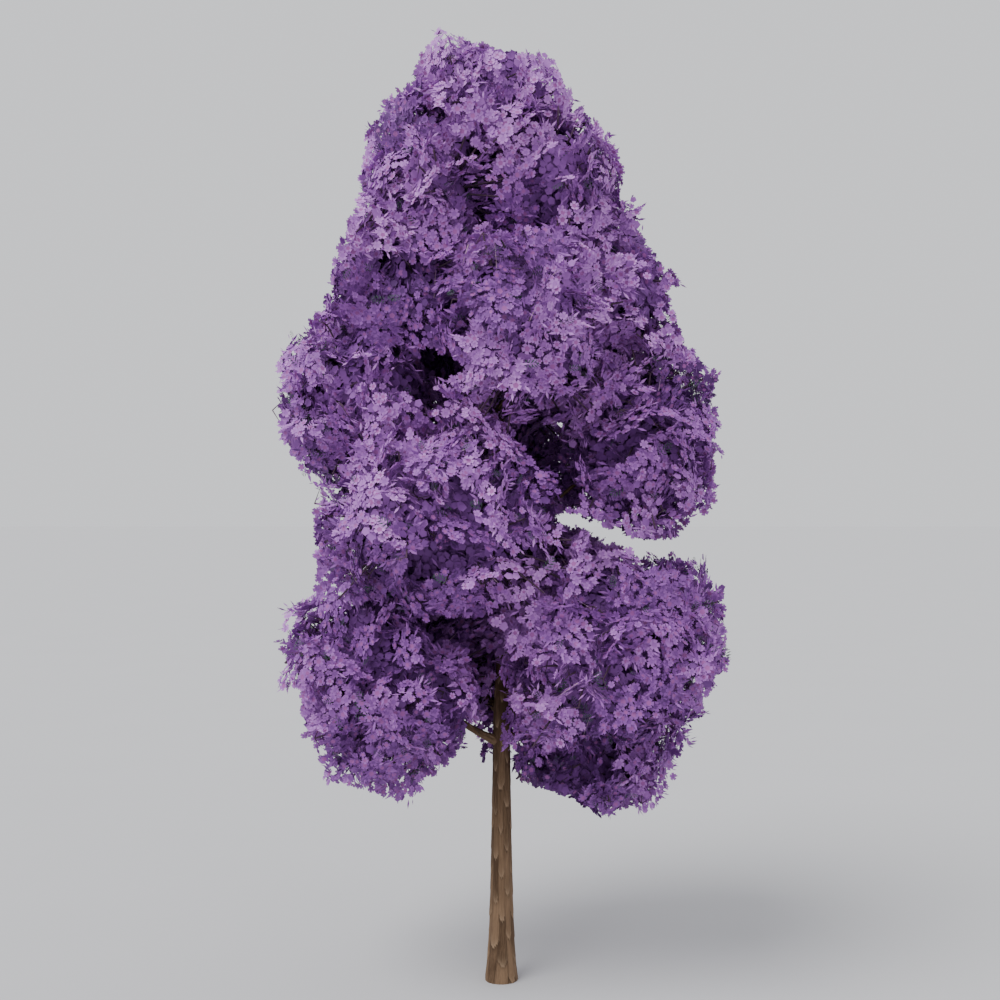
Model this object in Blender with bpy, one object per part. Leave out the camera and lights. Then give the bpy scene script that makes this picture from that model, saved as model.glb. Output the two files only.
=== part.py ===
"""A jacaranda in full bloom, rooted in level ground.

Metres, +Z up. The origin is the middle of the trunk's flat foot, and -Y is the tree's front.
One trunk runs up through the crown. Each bough leaves it at a fork and ends where it enters a mass of
blossom. Each mass grows from one stem, which carries on from its bough's tip: the stem bears main twigs,
they bear finer twigs, and each of those bears one spray of blossom that stands out of the dense core.
"""

import math
import random
from dataclasses import dataclass

import bmesh
import bpy
from mathutils import Matrix, Vector
from mathutils.geometry import intersect_point_line

# Trunk
LEADER_HEIGHT = 10.30
LEADER_RADIUS = 0.024
TRUNK_RADIUS = 0.162
TRUNK_TAPER = 1.40
FLARE_RADIUS = 0.048
FLARE_HEIGHT = 0.45
STRAIGHT_HEIGHT = 3.4
WANDER = 0.08
WANDER_RUN_IN = 1.5
TRUNK_RINGS = 15
RING_CROWDING = 1.5
TRUNK_BEVEL_RESOLUTION = 6

# Boughs
BOUGH_SHARE = 0.56
BOUGH_TIP_SHARE = 0.5
COLLAR_SHARE = 0.45
BOUGH_POINTS = 6
BOUGH_BEVEL_RESOLUTION = 1
BOUGH_RISE = 0.28
ENTRY_SHARE = 0.66

# Rooms of the masses
ROUNDNESS = 2.4
WALL_MARGIN = 0.012
LIMB_CLEARANCE = 0.03
BALLS = 10

# Cores
CORE_DEPTH = 0.50
LEAST_CORE = 0.12
CORE_CONE = math.radians(42.0)
CORE_SIGHT = 2.0

# Stems and twigs
SEED = 1907
STEM_RUN = 0.10
STEM_BEND = 0.6
STEM_BEVEL_RESOLUTION = 1
MAIN_TWIGS = 5
MAIN_TWIG_SHARE = 0.30
TWIG_RADIUS = 0.034
TWIG_TIP_RADIUS = 0.022
TWIG_END_RADIUS = 0.014

# Sprays
SPRAY_SPACING = 0.78
OPEN_SHARE = 0.64
SPRAY_LENGTH = 0.66
SPRAY_WIDTH = 0.63
SPRAY_WAIST = 0.68
SPRAY_SIDES = 4
SPRAY_LIFT = 0.22
SPRAY_JITTER = 0.12
LENGTH_SPREAD = 0.15
TIP_SPREAD = 0.07
SPRAY_SINK = 0.10
SPRAY_HEART = 0.4
LEAST_SPRAY_SHARE = 0.60
SHRINK = 0.94
RETREAT = 0.03

TOUCHING = 0.0003


@dataclass(frozen=True)
class Mass:
    """One mass of blossom, placed round the trunk: bearing is turned from +X towards +Y, in degrees."""

    name: str
    height: float
    bearing: float
    out: float
    wide: float
    deep: float
    tall: float
    tilt: float = 0.0
    fork: float = 0.0


MASSES = (
    Mass("top", 11.12, 180, 0.26, 2.25, 2.00, 1.76, tilt=16),
    Mass("upper_left", 10.06, 198, 0.97, 1.80, 1.95, 2.20, fork=9.20),
    Mass("upper_right", 10.04, 340, 0.74, 1.58, 1.95, 2.10, tilt=15, fork=9.40),
    Mass("upper_back", 9.75, 93, 1.00, 2.40, 2.00, 2.20, fork=8.90),
    Mass("shoulder_left", 8.84, 187, 1.31, 1.80, 2.20, 2.10, tilt=-20, fork=7.85),
    Mass("shoulder_front", 8.25, 282, 1.17, 2.10, 2.05, 2.20, fork=7.25),
    Mass("shoulder_right", 8.82, 9, 1.34, 2.34, 2.20, 1.70, tilt=55, fork=7.60),
    Mass("shoulder_back", 7.95, 96, 1.41, 2.90, 2.20, 2.20, fork=7.00),
    Mass("middle_left", 7.38, 185, 1.85, 2.00, 2.40, 2.46, fork=5.95),
    Mass("middle_right", 6.90, 358, 1.77, 2.04, 2.44, 2.70, tilt=8, fork=5.75),
    Mass("middle_back", 6.15, 100, 1.50, 2.60, 2.30, 2.20, fork=5.15),
    Mass("middle_front", 5.86, 234, 1.18, 3.10, 2.60, 2.40, tilt=-4, fork=4.85),
    Mass("waist_right", 5.12, 21, 0.98, 1.02, 1.70, 1.20, fork=4.45),
    Mass("lower_left", 3.84, 192, 1.45, 2.84, 2.60, 2.44, tilt=52, fork=3.02),
    Mass("lower_right", 4.30, 337, 1.52, 2.92, 2.60, 2.44, tilt=-26, fork=3.62),
    Mass("lower_back_left", 4.15, 120, 1.61, 2.50, 2.30, 2.40, fork=3.40),
    Mass("lower_back_right", 4.10, 51, 1.81, 2.50, 2.30, 2.20, fork=3.30),
    Mass("bottom_right", 2.85, 17, 1.19, 2.26, 2.00, 1.50, tilt=14, fork=3.10),
)


def material(name, colour, roughness):
    """A plain finish of one colour."""
    made = bpy.data.materials.new(name)
    made.use_nodes = True
    shader = made.node_tree.nodes["Principled BSDF"]
    shader.inputs["Base Color"].default_value = (*colour, 1.0)
    shader.inputs["Roughness"].default_value = roughness
    shader.inputs["Metallic"].default_value = 0.0
    return made


def collection(name):
    """A new collection in the scene."""
    made = bpy.data.collections.new(name)
    bpy.context.scene.collection.children.link(made)
    return made


# Trunk and boughs


def trunk_axis(height):
    """The middle of the trunk at this height: upright below the crown, wandering a little inside it."""
    above = max(0.0, height - STRAIGHT_HEIGHT)
    sway = WANDER * min(1.0, above / WANDER_RUN_IN)
    x = sway * math.sin(0.8 * above + 0.5)
    y = sway * math.sin(0.6 * above + 2.0)
    return Vector((x, y, height))


def trunk_radius(height):
    """The trunk's taper, with the flare of its foot."""
    taper = (1.0 - height / LEADER_HEIGHT) ** TRUNK_TAPER
    flare = FLARE_RADIUS * math.exp(-height / FLARE_HEIGHT)
    return LEADER_RADIUS + (TRUNK_RADIUS - LEADER_RADIUS) * taper + flare


def trunk_heights():
    """Heights of the trunk's rings, closest together at its foot."""
    return [LEADER_HEIGHT * (i / TRUNK_RINGS) ** RING_CROWDING for i in range(TRUNK_RINGS + 1)]


def tube(name, points, radii, bevel_resolution, into):
    """A round tapering limb along these points, as a mesh whose caps are welded on."""
    curve = bpy.data.curves.new(name, "CURVE")
    curve.dimensions = "3D"
    curve.bevel_depth = 1.0
    curve.bevel_resolution = bevel_resolution
    curve.use_fill_caps = True
    spline = curve.splines.new("POLY")
    spline.points.add(len(points) - 1)
    for knot, point, radius in zip(spline.points, points, radii):
        knot.co = (*point, 1.0)
        knot.radius = radius
    guide = bpy.data.objects.new(name + "_guide", curve)
    into.objects.link(guide)
    bpy.context.view_layer.update()
    graph = bpy.context.evaluated_depsgraph_get()
    mesh = bpy.data.meshes.new_from_object(guide.evaluated_get(graph))
    mesh.transform(guide.matrix_world)
    bpy.data.objects.remove(guide)
    body = bmesh.new()
    body.from_mesh(mesh)
    bmesh.ops.remove_doubles(body, verts=body.verts, dist=1e-5)
    bmesh.ops.recalc_face_normals(body, faces=body.faces)
    body.to_mesh(mesh)
    body.free()
    made = bpy.data.objects.new(name, mesh)
    into.objects.link(made)
    return made


def trunk(name, grown, into):
    """The whole trunk, or a cutter grown by this much all round."""
    heights = trunk_heights()
    radii = [trunk_radius(height) + grown for height in heights]
    return tube(name, [trunk_axis(height) for height in heights], radii, TRUNK_BEVEL_RESOLUTION, into)


def bough_line(mass, space):
    """Points and radii of a mass's bough, from the trunk's axis to the place where it enters the mass."""
    start = trunk_axis(mass.fork)
    entry = space.centre - (space.centre - start).normalized() * ENTRY_SHARE * space.size_towards(start)
    span = entry - start
    bend = start + Vector((span.x * 0.5, span.y * 0.5, span.z * BOUGH_RISE))
    thick = BOUGH_SHARE * trunk_radius(mass.fork)
    points, radii = [], []
    for i in range(BOUGH_POINTS):
        t = i / (BOUGH_POINTS - 1)
        points.append(start * (1 - t) ** 2 + bend * 2 * t * (1 - t) + entry * t**2)
        collar = 1.0 + COLLAR_SHARE * max(0.0, 1.0 - 3.0 * t)
        radii.append(thick * (1.0 + (BOUGH_TIP_SHARE - 1.0) * t) * collar)
    return points, radii


def shade(made, finish, smooth):
    """Gives a solid its finish, with round pieces shaded smooth."""
    made.data.materials.clear()
    made.data.materials.append(finish)
    if smooth:
        made.data.shade_smooth()
        made.data.set_sharp_from_angle(angle=math.radians(50.0))


# The room that each mass keeps to


class Space:
    """A mass's rounded room, with flat walls between it and its neighbours' rooms."""

    def __init__(self, mass):
        around = math.radians(mass.bearing)
        self.centre = Vector((mass.out * math.cos(around), mass.out * math.sin(around), mass.height))
        self.half = (mass.wide / 2, mass.deep / 2, mass.tall / 2)
        self.turn = Matrix.Rotation(math.radians(mass.tilt), 3, "Y")
        self.walls = []

    def size(self, direction):
        """How far the rounded room reaches this way, with no walls."""
        local = self.turn.transposed() @ direction
        total = sum(abs(part / half) ** ROUNDNESS for part, half in zip(local, self.half))
        return total ** (-1.0 / ROUNDNESS)

    def size_towards(self, point):
        """How far the rounded room reaches towards a point."""
        return self.size((point - self.centre).normalized())

    def wall_off(self, other):
        """A wall between two rooms, which splits the way between their centres by their sizes."""
        apart = other.centre - self.centre
        if apart.length > max(self.half) + max(other.half):
            return
        normal = apart.normalized()
        mine, theirs = self.size(normal), other.size(-normal)
        place = apart.length * mine / (mine + theirs) - WALL_MARGIN
        self.walls.append((normal, normal.dot(self.centre) + place))

    def reach(self, direction):
        """How far the mass may reach this way from its centre."""
        far = self.size(direction)
        for normal, offset in self.walls:
            facing = normal.dot(direction)
            if facing > 1e-6:
                far = min(far, (offset - normal.dot(self.centre)) / facing)
        return far

    def holds(self, point):
        """True where a point lies inside the room and all its walls."""
        away = point - self.centre
        if away.length < 1e-6:
            return True
        return away.length <= self.reach(away.normalized()) + 1e-6


def spaces_of(masses):
    """Each mass's room, with its walls."""
    rooms = {mass.name: Space(mass) for mass in masses}
    for room in rooms.values():
        for other in rooms.values():
            if other is not room:
                room.wall_off(other)
    return rooms


# The rule by which a mass grows


def balls_along(start, end, radius_at):
    """Balls that hold a straight piece whose radius is given along its length, from 0 to 1."""
    return [(start.lerp(end, i / BALLS), radius_at(i / BALLS)) for i in range(BALLS + 1)]


@dataclass(frozen=True)
class Limb:
    """A straight stretch of a trunk or bough."""

    start: Vector
    end: Vector
    radius: float

    def balls(self):
        """Balls spaced along the limb."""
        return balls_along(self.start, self.end, lambda along: self.radius)


def limbs_along(points, radii):
    """The straight stretches of one trunk or bough."""
    pairs = zip(points, points[1:], radii, radii[1:])
    return [Limb(a, b, max(p, q)) for a, b, p, q in pairs]


def gap_to(limb, point):
    """How far a point lies outside a limb's bark."""
    nearest, share = intersect_point_line(point, limb.start, limb.end)
    if share < 0.0:
        nearest = limb.start
    elif share > 1.0:
        nearest = limb.end
    return (point - nearest).length - limb.radius


def clear_of(limbs, balls):
    """True where balls, each a middle and a radius, touch no limb."""
    return all(gap_to(limb, middle) >= radius + LIMB_CLEARANCE for middle, radius in balls for limb in limbs)


def even_directions(count, rng):
    """Directions spread evenly all round, in a seeded turn."""
    spin = Matrix.Rotation(rng.uniform(0, math.tau), 3, "Z")
    golden = math.pi * (3.0 - math.sqrt(5.0))
    for i in range(count):
        up = 1.0 - 2.0 * i / (count - 1)
        flat = math.sqrt(max(0.0, 1.0 - up * up))
        yield spin @ Vector((flat * math.cos(golden * i), flat * math.sin(golden * i), up))


def main_twig_ends(space, rng):
    """Where a mass's main twigs end, deep inside its core."""
    return [space.centre + way * MAIN_TWIG_SHARE * space.reach(way) for way in even_directions(MAIN_TWIGS, rng)]


def spray_directions(space, rng):
    """Directions of a mass's sprays, without those that a neighbour's wall would cut short."""
    mean = sum(space.half) / 3
    count = round(4 * math.pi * mean**2 / SPRAY_SPACING**2)
    for way in even_directions(count, rng):
        if space.reach(way) >= OPEN_SHARE * space.size(way):
            yield way


def spray_for(space, limbs, way, rng):
    """Heel, lean and length of the spray that points this way, or None where it has no room."""
    lean = way + Vector((rng.gauss(0, SPRAY_JITTER), rng.gauss(0, SPRAY_JITTER), SPRAY_LIFT))
    lean.normalize()
    length = SPRAY_LENGTH * rng.uniform(1.0 - LENGTH_SPREAD, 1.0 + LENGTH_SPREAD)
    tip = space.centre + way * space.reach(way) * rng.uniform(1.0 - TIP_SPREAD, 1.0)
    while length > LEAST_SPRAY_SHARE * SPRAY_LENGTH:
        heel = tip - lean * length
        if fits(space, limbs, heel, lean, length):
            return heel, lean, length
        length *= SHRINK
        tip = tip.lerp(space.centre, RETREAT)
    return None


def spray_radius(length, along):
    """A spray's radius at this share of its length."""
    widest = SPRAY_WIDTH / 2 * length / SPRAY_LENGTH
    if along < SPRAY_WAIST:
        return widest * along / SPRAY_WAIST
    return widest * (1.0 - along) / (1.0 - SPRAY_WAIST)


def rim(heel, lean, length):
    """The corners of a spray's widest ring."""
    middle = heel + lean * length * SPRAY_WAIST
    across = lean.orthogonal().normalized() * spray_radius(length, SPRAY_WAIST)
    for i in range(SPRAY_SIDES):
        yield middle + Matrix.Rotation(math.tau * i / SPRAY_SIDES, 3, lean) @ across


def fits(space, limbs, heel, lean, length):
    """True where a spray keeps to its mass's room and touches no limb."""
    tip = heel + lean * length
    if not all(space.holds(point) for point in (tip, *rim(heel, lean, length))):
        return False
    return clear_of(limbs, balls_along(heel, tip, lambda along: spray_radius(length, along)))


# Solids of a mass


def linked(name, body, matrix, into):
    """A bmesh made an object, placed by this matrix."""
    mesh = bpy.data.meshes.new(name)
    body.transform(matrix)
    body.to_mesh(mesh)
    body.free()
    made = bpy.data.objects.new(name, mesh)
    into.objects.link(made)
    return made


def pointing(way):
    """A turn that takes +Z to a way and +X to the side that orthogonal() gives it."""
    across = way.orthogonal().normalized()
    return Matrix((across, way.cross(across), way)).transposed().to_4x4()


def spray(heel, lean, length, into):
    """A spray of blossom: a small parasol that rises from its heel and is widest near its top."""
    body = bmesh.new()
    bmesh.ops.create_uvsphere(body, u_segments=SPRAY_SIDES, v_segments=2, radius=0.5)
    scale = length / SPRAY_LENGTH
    for corner in body.verts:
        along = 0.5 + corner.co.z
        if abs(corner.co.z) < 0.1:
            along = SPRAY_WAIST
        corner.co.x *= SPRAY_WIDTH * scale
        corner.co.y *= SPRAY_WIDTH * scale
        corner.co.z = along * length
    return linked("spray", body, Matrix.Translation(heel) @ pointing(lean), into)


def twig(start, end, thick, thin, into):
    """A three-sided tapering twig."""
    body = bmesh.new()
    long = (end - start).length
    bmesh.ops.create_cone(body, cap_ends=True, segments=3, radius1=thick, radius2=thin, depth=long)
    way = (end - start).normalized()
    middle = (start + end) / 2
    return linked("twig", body, Matrix.Translation(middle) @ pointing(way), into)


def core(name, space, limbs, into):
    """The dense middle of a mass, held clear of its walls and of every limb."""
    body = bmesh.new()
    bmesh.ops.create_icosphere(body, subdivisions=2, radius=1.0)
    near = [(point - space.centre, radius) for limb in limbs for point, radius in limb.balls()]
    near = [(away, radius) for away, radius in near if away.length < CORE_SIGHT]
    for corner in body.verts:
        way = corner.co.normalized()
        far = min(space.size(way) - CORE_DEPTH, space.reach(way) - WALL_MARGIN)
        for away, radius in near:
            if way.angle(away) < CORE_CONE:
                far = min(far, away.length - radius - LIMB_CLEARANCE)
        corner.co = way * max(far, LEAST_CORE)
    return linked(name, body, Matrix.Translation(space.centre), into)


def stem(space, bough_end, into):
    """The stem that carries on from a limb's end to the middle of its mass."""
    tip, way, radius = bough_end
    points = [tip + way * TOUCHING, tip + way * STEM_RUN, tip.lerp(space.centre, STEM_BEND), space.centre]
    radii = [radius * share for share in (0.98, 0.94, 0.8, 0.6)]
    return tube("stem", points, radii, STEM_BEVEL_RESOLUTION, into)


def grow(mass, space, bough_end, limbs, into):
    """One mass: its stem, twigs, sprays and core, joined into one solid."""
    rng = random.Random(f"{SEED} {mass.name}")
    growing = collection(mass.name + "_growing")
    stem(space, bough_end, growing)
    mains = main_twig_ends(space, rng)
    for end in mains:
        twig(space.centre, end, TWIG_RADIUS, TWIG_TIP_RADIUS, growing)
    for out in spray_directions(space, rng):
        place = spray_for(space, limbs, out, rng)
        if place is None:
            continue
        heel, lean, length = place
        start = min(mains, key=lambda end: (end - heel).length)
        if not clear_of(limbs, balls_along(start, heel, lambda along: TWIG_RADIUS)):
            continue
        heart = heel + lean * length * SPRAY_HEART
        twig(start, heel, TWIG_RADIUS, TWIG_TIP_RADIUS, growing)
        twig(heel - lean * SPRAY_SINK, heart, TWIG_TIP_RADIUS, TWIG_END_RADIUS, growing)
        spray(heel, lean, length, growing)
    made = core("mass_" + mass.name, space, limbs, into)
    join(made, growing)
    return made


def join(made, pieces):
    """Fuses a collection's pieces into a solid with one union, and keeps only its outer body."""
    union = made.modifiers.new("union", "BOOLEAN")
    union.operation = "UNION"
    union.operand_type = "COLLECTION"
    union.collection = pieces
    union.solver = "EXACT"
    bpy.context.view_layer.update()
    graph = bpy.context.evaluated_depsgraph_get()
    fused = bpy.data.meshes.new_from_object(made.evaluated_get(graph))
    made.modifiers.clear()
    made.data = fused
    for piece in list(pieces.objects):
        bpy.data.objects.remove(piece)
    bpy.data.collections.remove(pieces)
    keep_outer_body(fused)


def keep_outer_body(mesh):
    """Drops loose scraps, and fills hollows by dropping their inner shells."""
    body = bmesh.new()
    body.from_mesh(mesh)
    groups = []
    for first in body.verts:
        if first.tag:
            continue
        first.tag = True
        group = [first]
        for corner in group:
            for line in corner.link_edges:
                other = line.other_vert(corner)
                if not other.tag:
                    other.tag = True
                    group.append(other)
        groups.append(group)
    outer = max(groups, key=len)
    scraps = [corner for group in groups if group is not outer for corner in group]
    bmesh.ops.delete(body, geom=scraps, context="VERTS")
    bmesh.ops.triangulate(body, faces=body.faces)
    body.to_mesh(mesh)
    body.free()


def cut_by_trunk(made, cutter):
    """Seats a bough on the bark: what lies inside the trunk is cut away."""
    cut = made.modifiers.new("seat", "BOOLEAN")
    cut.operation = "DIFFERENCE"
    cut.object = cutter
    cut.solver = "EXACT"


def main():
    """Builds the tree, one object for each trunk, bough and mass."""
    for old in list(bpy.data.objects):
        bpy.data.objects.remove(old)
    tree = collection("jacaranda_tree")
    cutters = collection("cutters")
    bark = material("bark", (0.23, 0.15, 0.095), 0.85)
    blossom = material("blossom", (0.38, 0.20, 0.50), 0.65)

    stock = trunk("trunk", 0.0, tree)
    shade(stock, bark, smooth=True)
    cutter = trunk("trunk_cutter", TOUCHING, cutters)
    cutter.hide_render = True
    cutter.display_type = "WIRE"

    rooms = spaces_of(MASSES)
    heights = trunk_heights()
    axis = [trunk_axis(height) for height in heights]
    limbs = limbs_along(axis, [trunk_radius(height) for height in heights])
    ends = {MASSES[0].name: (axis[-1], (axis[-1] - axis[-2]).normalized(), LEADER_RADIUS)}
    for mass in MASSES[1:]:
        points, radii = bough_line(mass, rooms[mass.name])
        bough = tube("bough_" + mass.name, points, radii, BOUGH_BEVEL_RESOLUTION, tree)
        cut_by_trunk(bough, cutter)
        shade(bough, bark, smooth=True)
        limbs += limbs_along(points, radii)
        ends[mass.name] = (points[-1], (points[-1] - points[-2]).normalized(), radii[-1])

    for mass in MASSES:
        shade(grow(mass, rooms[mass.name], ends[mass.name], limbs, tree), blossom, smooth=False)


if __name__ == "__main__":
    main()
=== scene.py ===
"""The looks of a jacaranda in full bloom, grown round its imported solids.

Metres, +Z up. The origin is the middle of the trunk's flat foot, and -Y is the tree's front.
The trunk and boughs get bark with a relief. Each mass of blossom grows on from its bough by the rule of the
solids, carried to finer twigs: a stem bears main twigs, they bear finer twigs, and each of those ends in a
plate of blossom, a flat round spray whose flowers overlap like scales and droop a little at the rim.
"""

import logging
import math
import random
from dataclasses import dataclass, field
from enum import Enum
from typing import Any, Sequence

import bpy
import numpy as np
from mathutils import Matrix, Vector


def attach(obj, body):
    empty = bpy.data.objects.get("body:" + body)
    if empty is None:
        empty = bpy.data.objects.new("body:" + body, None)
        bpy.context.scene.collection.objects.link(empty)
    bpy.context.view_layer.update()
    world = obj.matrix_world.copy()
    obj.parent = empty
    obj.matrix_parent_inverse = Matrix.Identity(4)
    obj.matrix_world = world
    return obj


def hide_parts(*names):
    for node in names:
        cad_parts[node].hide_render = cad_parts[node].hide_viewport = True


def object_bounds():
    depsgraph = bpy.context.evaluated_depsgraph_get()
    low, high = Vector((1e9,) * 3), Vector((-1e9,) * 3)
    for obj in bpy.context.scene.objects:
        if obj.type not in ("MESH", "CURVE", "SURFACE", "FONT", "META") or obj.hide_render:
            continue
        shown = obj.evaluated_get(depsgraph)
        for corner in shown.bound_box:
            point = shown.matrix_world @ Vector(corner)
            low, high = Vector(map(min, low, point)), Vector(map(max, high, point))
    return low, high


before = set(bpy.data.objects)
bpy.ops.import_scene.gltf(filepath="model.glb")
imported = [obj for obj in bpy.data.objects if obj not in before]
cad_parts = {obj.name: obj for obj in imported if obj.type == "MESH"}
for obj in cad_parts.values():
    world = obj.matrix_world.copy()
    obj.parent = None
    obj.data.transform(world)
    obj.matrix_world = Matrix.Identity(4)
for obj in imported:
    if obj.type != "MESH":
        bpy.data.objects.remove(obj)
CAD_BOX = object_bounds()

log = logging.getLogger("jacaranda")

SEED = 1907
GOLDEN = math.pi * (3.0 - math.sqrt(5.0))
TINY = 1e-9
NUDGE = 1e-6
STEEP = 0.9
MOST_TRIANGLES = 190_000
SMOOTH_ANGLE = math.radians(60)


@dataclass(frozen=True)
class Mass:
    """One mass of blossom, placed round the trunk: bearing is turned from +X towards +Y, in degrees."""

    name: str
    height: float
    bearing: float
    out: float
    wide: float
    deep: float
    tall: float
    tilt: float = 0.0
    fork: float = 0.0


MASSES = (
    Mass("top", 11.12, 180, 0.26, 2.25, 2.00, 1.76, tilt=16),
    Mass("upper_left", 10.06, 198, 0.97, 1.80, 1.95, 2.20, fork=9.20),
    Mass("upper_right", 10.04, 340, 0.74, 1.58, 1.95, 2.10, tilt=15, fork=9.40),
    Mass("upper_back", 9.75, 93, 1.00, 2.40, 2.00, 2.20, fork=8.90),
    Mass("shoulder_left", 8.84, 187, 1.31, 1.80, 2.20, 2.10, tilt=-20, fork=7.85),
    Mass("shoulder_front", 8.25, 282, 1.17, 2.10, 2.05, 2.20, fork=7.25),
    Mass("shoulder_right", 8.82, 9, 1.34, 2.34, 2.20, 1.70, tilt=55, fork=7.60),
    Mass("shoulder_back", 7.95, 96, 1.41, 2.90, 2.20, 2.20, fork=7.00),
    Mass("middle_left", 7.38, 185, 1.85, 2.00, 2.40, 2.46, fork=5.95),
    Mass("middle_right", 6.90, 358, 1.77, 2.04, 2.44, 2.70, tilt=8, fork=5.75),
    Mass("middle_back", 6.15, 100, 1.50, 2.60, 2.30, 2.20, fork=5.15),
    Mass("middle_front", 5.86, 234, 1.18, 3.10, 2.60, 2.40, tilt=-4, fork=4.85),
    Mass("waist_right", 5.12, 21, 0.98, 1.02, 1.70, 1.20, fork=4.45),
    Mass("lower_left", 3.84, 192, 1.45, 2.84, 2.60, 2.44, tilt=52, fork=3.02),
    Mass("lower_right", 4.30, 337, 1.52, 2.92, 2.60, 2.44, tilt=-26, fork=3.62),
    Mass("lower_back_left", 4.15, 120, 1.61, 2.50, 2.30, 2.40, fork=3.40),
    Mass("lower_back_right", 4.10, 51, 1.81, 2.50, 2.30, 2.20, fork=3.30),
    Mass("bottom_right", 2.85, 17, 1.19, 2.26, 2.00, 1.50, tilt=14, fork=3.10),
)


# Finishes


def linear(colour: Sequence[float]) -> tuple[float, float, float, float]:
    """Turns a display colour into a shader's, by the sRGB curve.

    Args:
        colour: red, green and blue from 0 to 255, as a screen shows them.

    Returns:
        The same colour in linear light, with an alpha of 1.
    """
    parts = [part / 255 for part in colour]
    lit = [part / 12.92 if part <= 0.04045 else ((part + 0.055) / 1.055) ** 2.4 for part in parts]
    return (lit[0], lit[1], lit[2], 1.0)


class Graph:
    """A material and its nodes."""

    def __init__(self, name: str) -> None:
        """Makes an empty material with a Principled shader.

        Args:
            name: the material's name.
        """
        self.material = bpy.data.materials.new(name)
        self.material.use_nodes = True
        self.tree = self.material.node_tree
        self.shader = self.tree.nodes["Principled BSDF"]

    def node(self, kind: str, settings: dict[str, Any], inputs: dict[Any, Any]) -> bpy.types.Node:
        """Adds one node.

        Args:
            kind: the node's type, without its ShaderNode prefix.
            settings: its properties, which are set first.
            inputs: values or links of its sockets, by name or number.

        Returns:
            The new node.
        """
        made = self.tree.nodes.new("ShaderNode" + kind)
        for name, value in settings.items():
            setattr(made, name, value)
        for name, value in inputs.items():
            self.feed(made.inputs[name], value)
        return made

    def feed(self, socket: bpy.types.NodeSocket, value: Any) -> None:
        """Sets a socket's value, or links it.

        Args:
            socket: the socket to feed.
            value: a number, a tuple, a wire or another socket.
        """
        if isinstance(value, Wire):
            value = value.socket
        if isinstance(value, bpy.types.NodeSocket):
            self.tree.links.new(value, socket)
        else:
            socket.default_value = value

    def paint(self, colour: Any, rough: Any, gloss: float) -> None:
        """Sets the shader's colour and shine.

        Args:
            colour: a linear colour, or a colour's socket.
            rough: its roughness, from 0 to 1.
            gloss: the strength of its reflections.
        """
        self.feed(self.shader.inputs["Base Color"], colour)
        self.feed(self.shader.inputs["Roughness"], rough)
        self.feed(self.shader.inputs["Specular IOR Level"], gloss)

    def blend(self, factor: Any, first: Any, second: Any) -> bpy.types.NodeSocket:
        """Mixes two colours.

        Args:
            factor: how much of the second shows, from 0 to 1.
            first: a linear colour or a colour's socket.
            second: the same, for the other colour.

        Returns:
            The mixed colour's socket.
        """
        mixed = self.node("Mix", {"data_type": "RGBA"}, {0: factor, 6: first, 7: second})
        return mixed.outputs[2]

    def attribute(self, name: str) -> "Wire":
        """Reads a number that is kept on the mesh."""
        found = self.node("Attribute", {"attribute_name": name}, {})
        return Wire(self, found.outputs["Fac"])

    def noise(self, scale: Sequence[float], detail: float, rough: float) -> "Wire":
        """Reads a noise on Object coordinates.

        Args:
            scale: how many times a metre it repeats along X, Y and Z.
            detail: its number of octaves.
            rough: how strong the finer octaves are.

        Returns:
            The noise, from 0 to 1.
        """
        place = self.node("TexCoord", {}, {}).outputs["Object"]
        spread = self.node("Mapping", {}, {"Vector": place, "Scale": tuple(scale)}).outputs["Vector"]
        inputs = {"Vector": spread, "Scale": 1.0, "Detail": detail, "Roughness": rough}
        return Wire(self, self.node("TexNoise", {}, inputs).outputs["Fac"])


class Wire:
    """A number's socket, written in sums: each operator adds a Math node."""

    def __init__(self, graph: Graph, socket: bpy.types.NodeSocket) -> None:
        """Wraps a socket of a graph."""
        self.graph = graph
        self.socket = socket

    def _maths(self, operation: str, first: Any, second: Any, clamp: bool = False) -> "Wire":
        """Adds a Math node.

        Args:
            operation: the node's operation.
            first: a wire or a number.
            second: the same.
            clamp: True to hold the result from 0 to 1.

        Returns:
            The result's wire.
        """
        settings = {"operation": operation, "use_clamp": clamp}
        made = self.graph.node("Math", settings, {0: first, 1: second})
        return Wire(self.graph, made.outputs[0])

    def __add__(self, other: Any) -> "Wire":
        """Self plus other."""
        return self._maths("ADD", self, other)

    def __radd__(self, other: Any) -> "Wire":
        """Other plus self."""
        return self._maths("ADD", other, self)

    def __sub__(self, other: Any) -> "Wire":
        """Self minus other."""
        return self._maths("SUBTRACT", self, other)

    def __mul__(self, other: Any) -> "Wire":
        """Self times other."""
        return self._maths("MULTIPLY", self, other)

    def held(self) -> "Wire":
        """The same number, held from 0 to 1."""
        return self._maths("ADD", self, 0.0, clamp=True)


@dataclass(frozen=True)
class PlainFinish:
    """One plain colour, for petals, leaves and thin twigs."""

    name: str
    colour: tuple[float, float, float]
    roughness: float = 0.62
    gloss: float = 0.25

    def material(self) -> bpy.types.Material:
        """Makes the finish's material.

        Returns:
            The material.
        """
        graph = Graph(self.name)
        graph.paint(linear(self.colour), self.roughness, self.gloss)
        return graph.material


class Tint(Enum):
    """The blossom's tints, from the palest down, with the throat's last. The steps between the petal tints
    are dealt out by where a spray lies: mostly painted light and shade, partly tone at random.
    """

    PALE = PlainFinish("petal_pale", (192, 132, 208))
    LIGHT = PlainFinish("petal_light", (176, 116, 195))
    MID = PlainFinish("petal_mid", (159, 99, 179))
    DEEP = PlainFinish("petal_deep", (140, 84, 162))
    SHADE = PlainFinish("petal_shade", (118, 67, 140))
    DARK = PlainFinish("petal_dark", (90, 48, 110))
    THROAT = PlainFinish("throat", (156, 88, 156))


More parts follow.
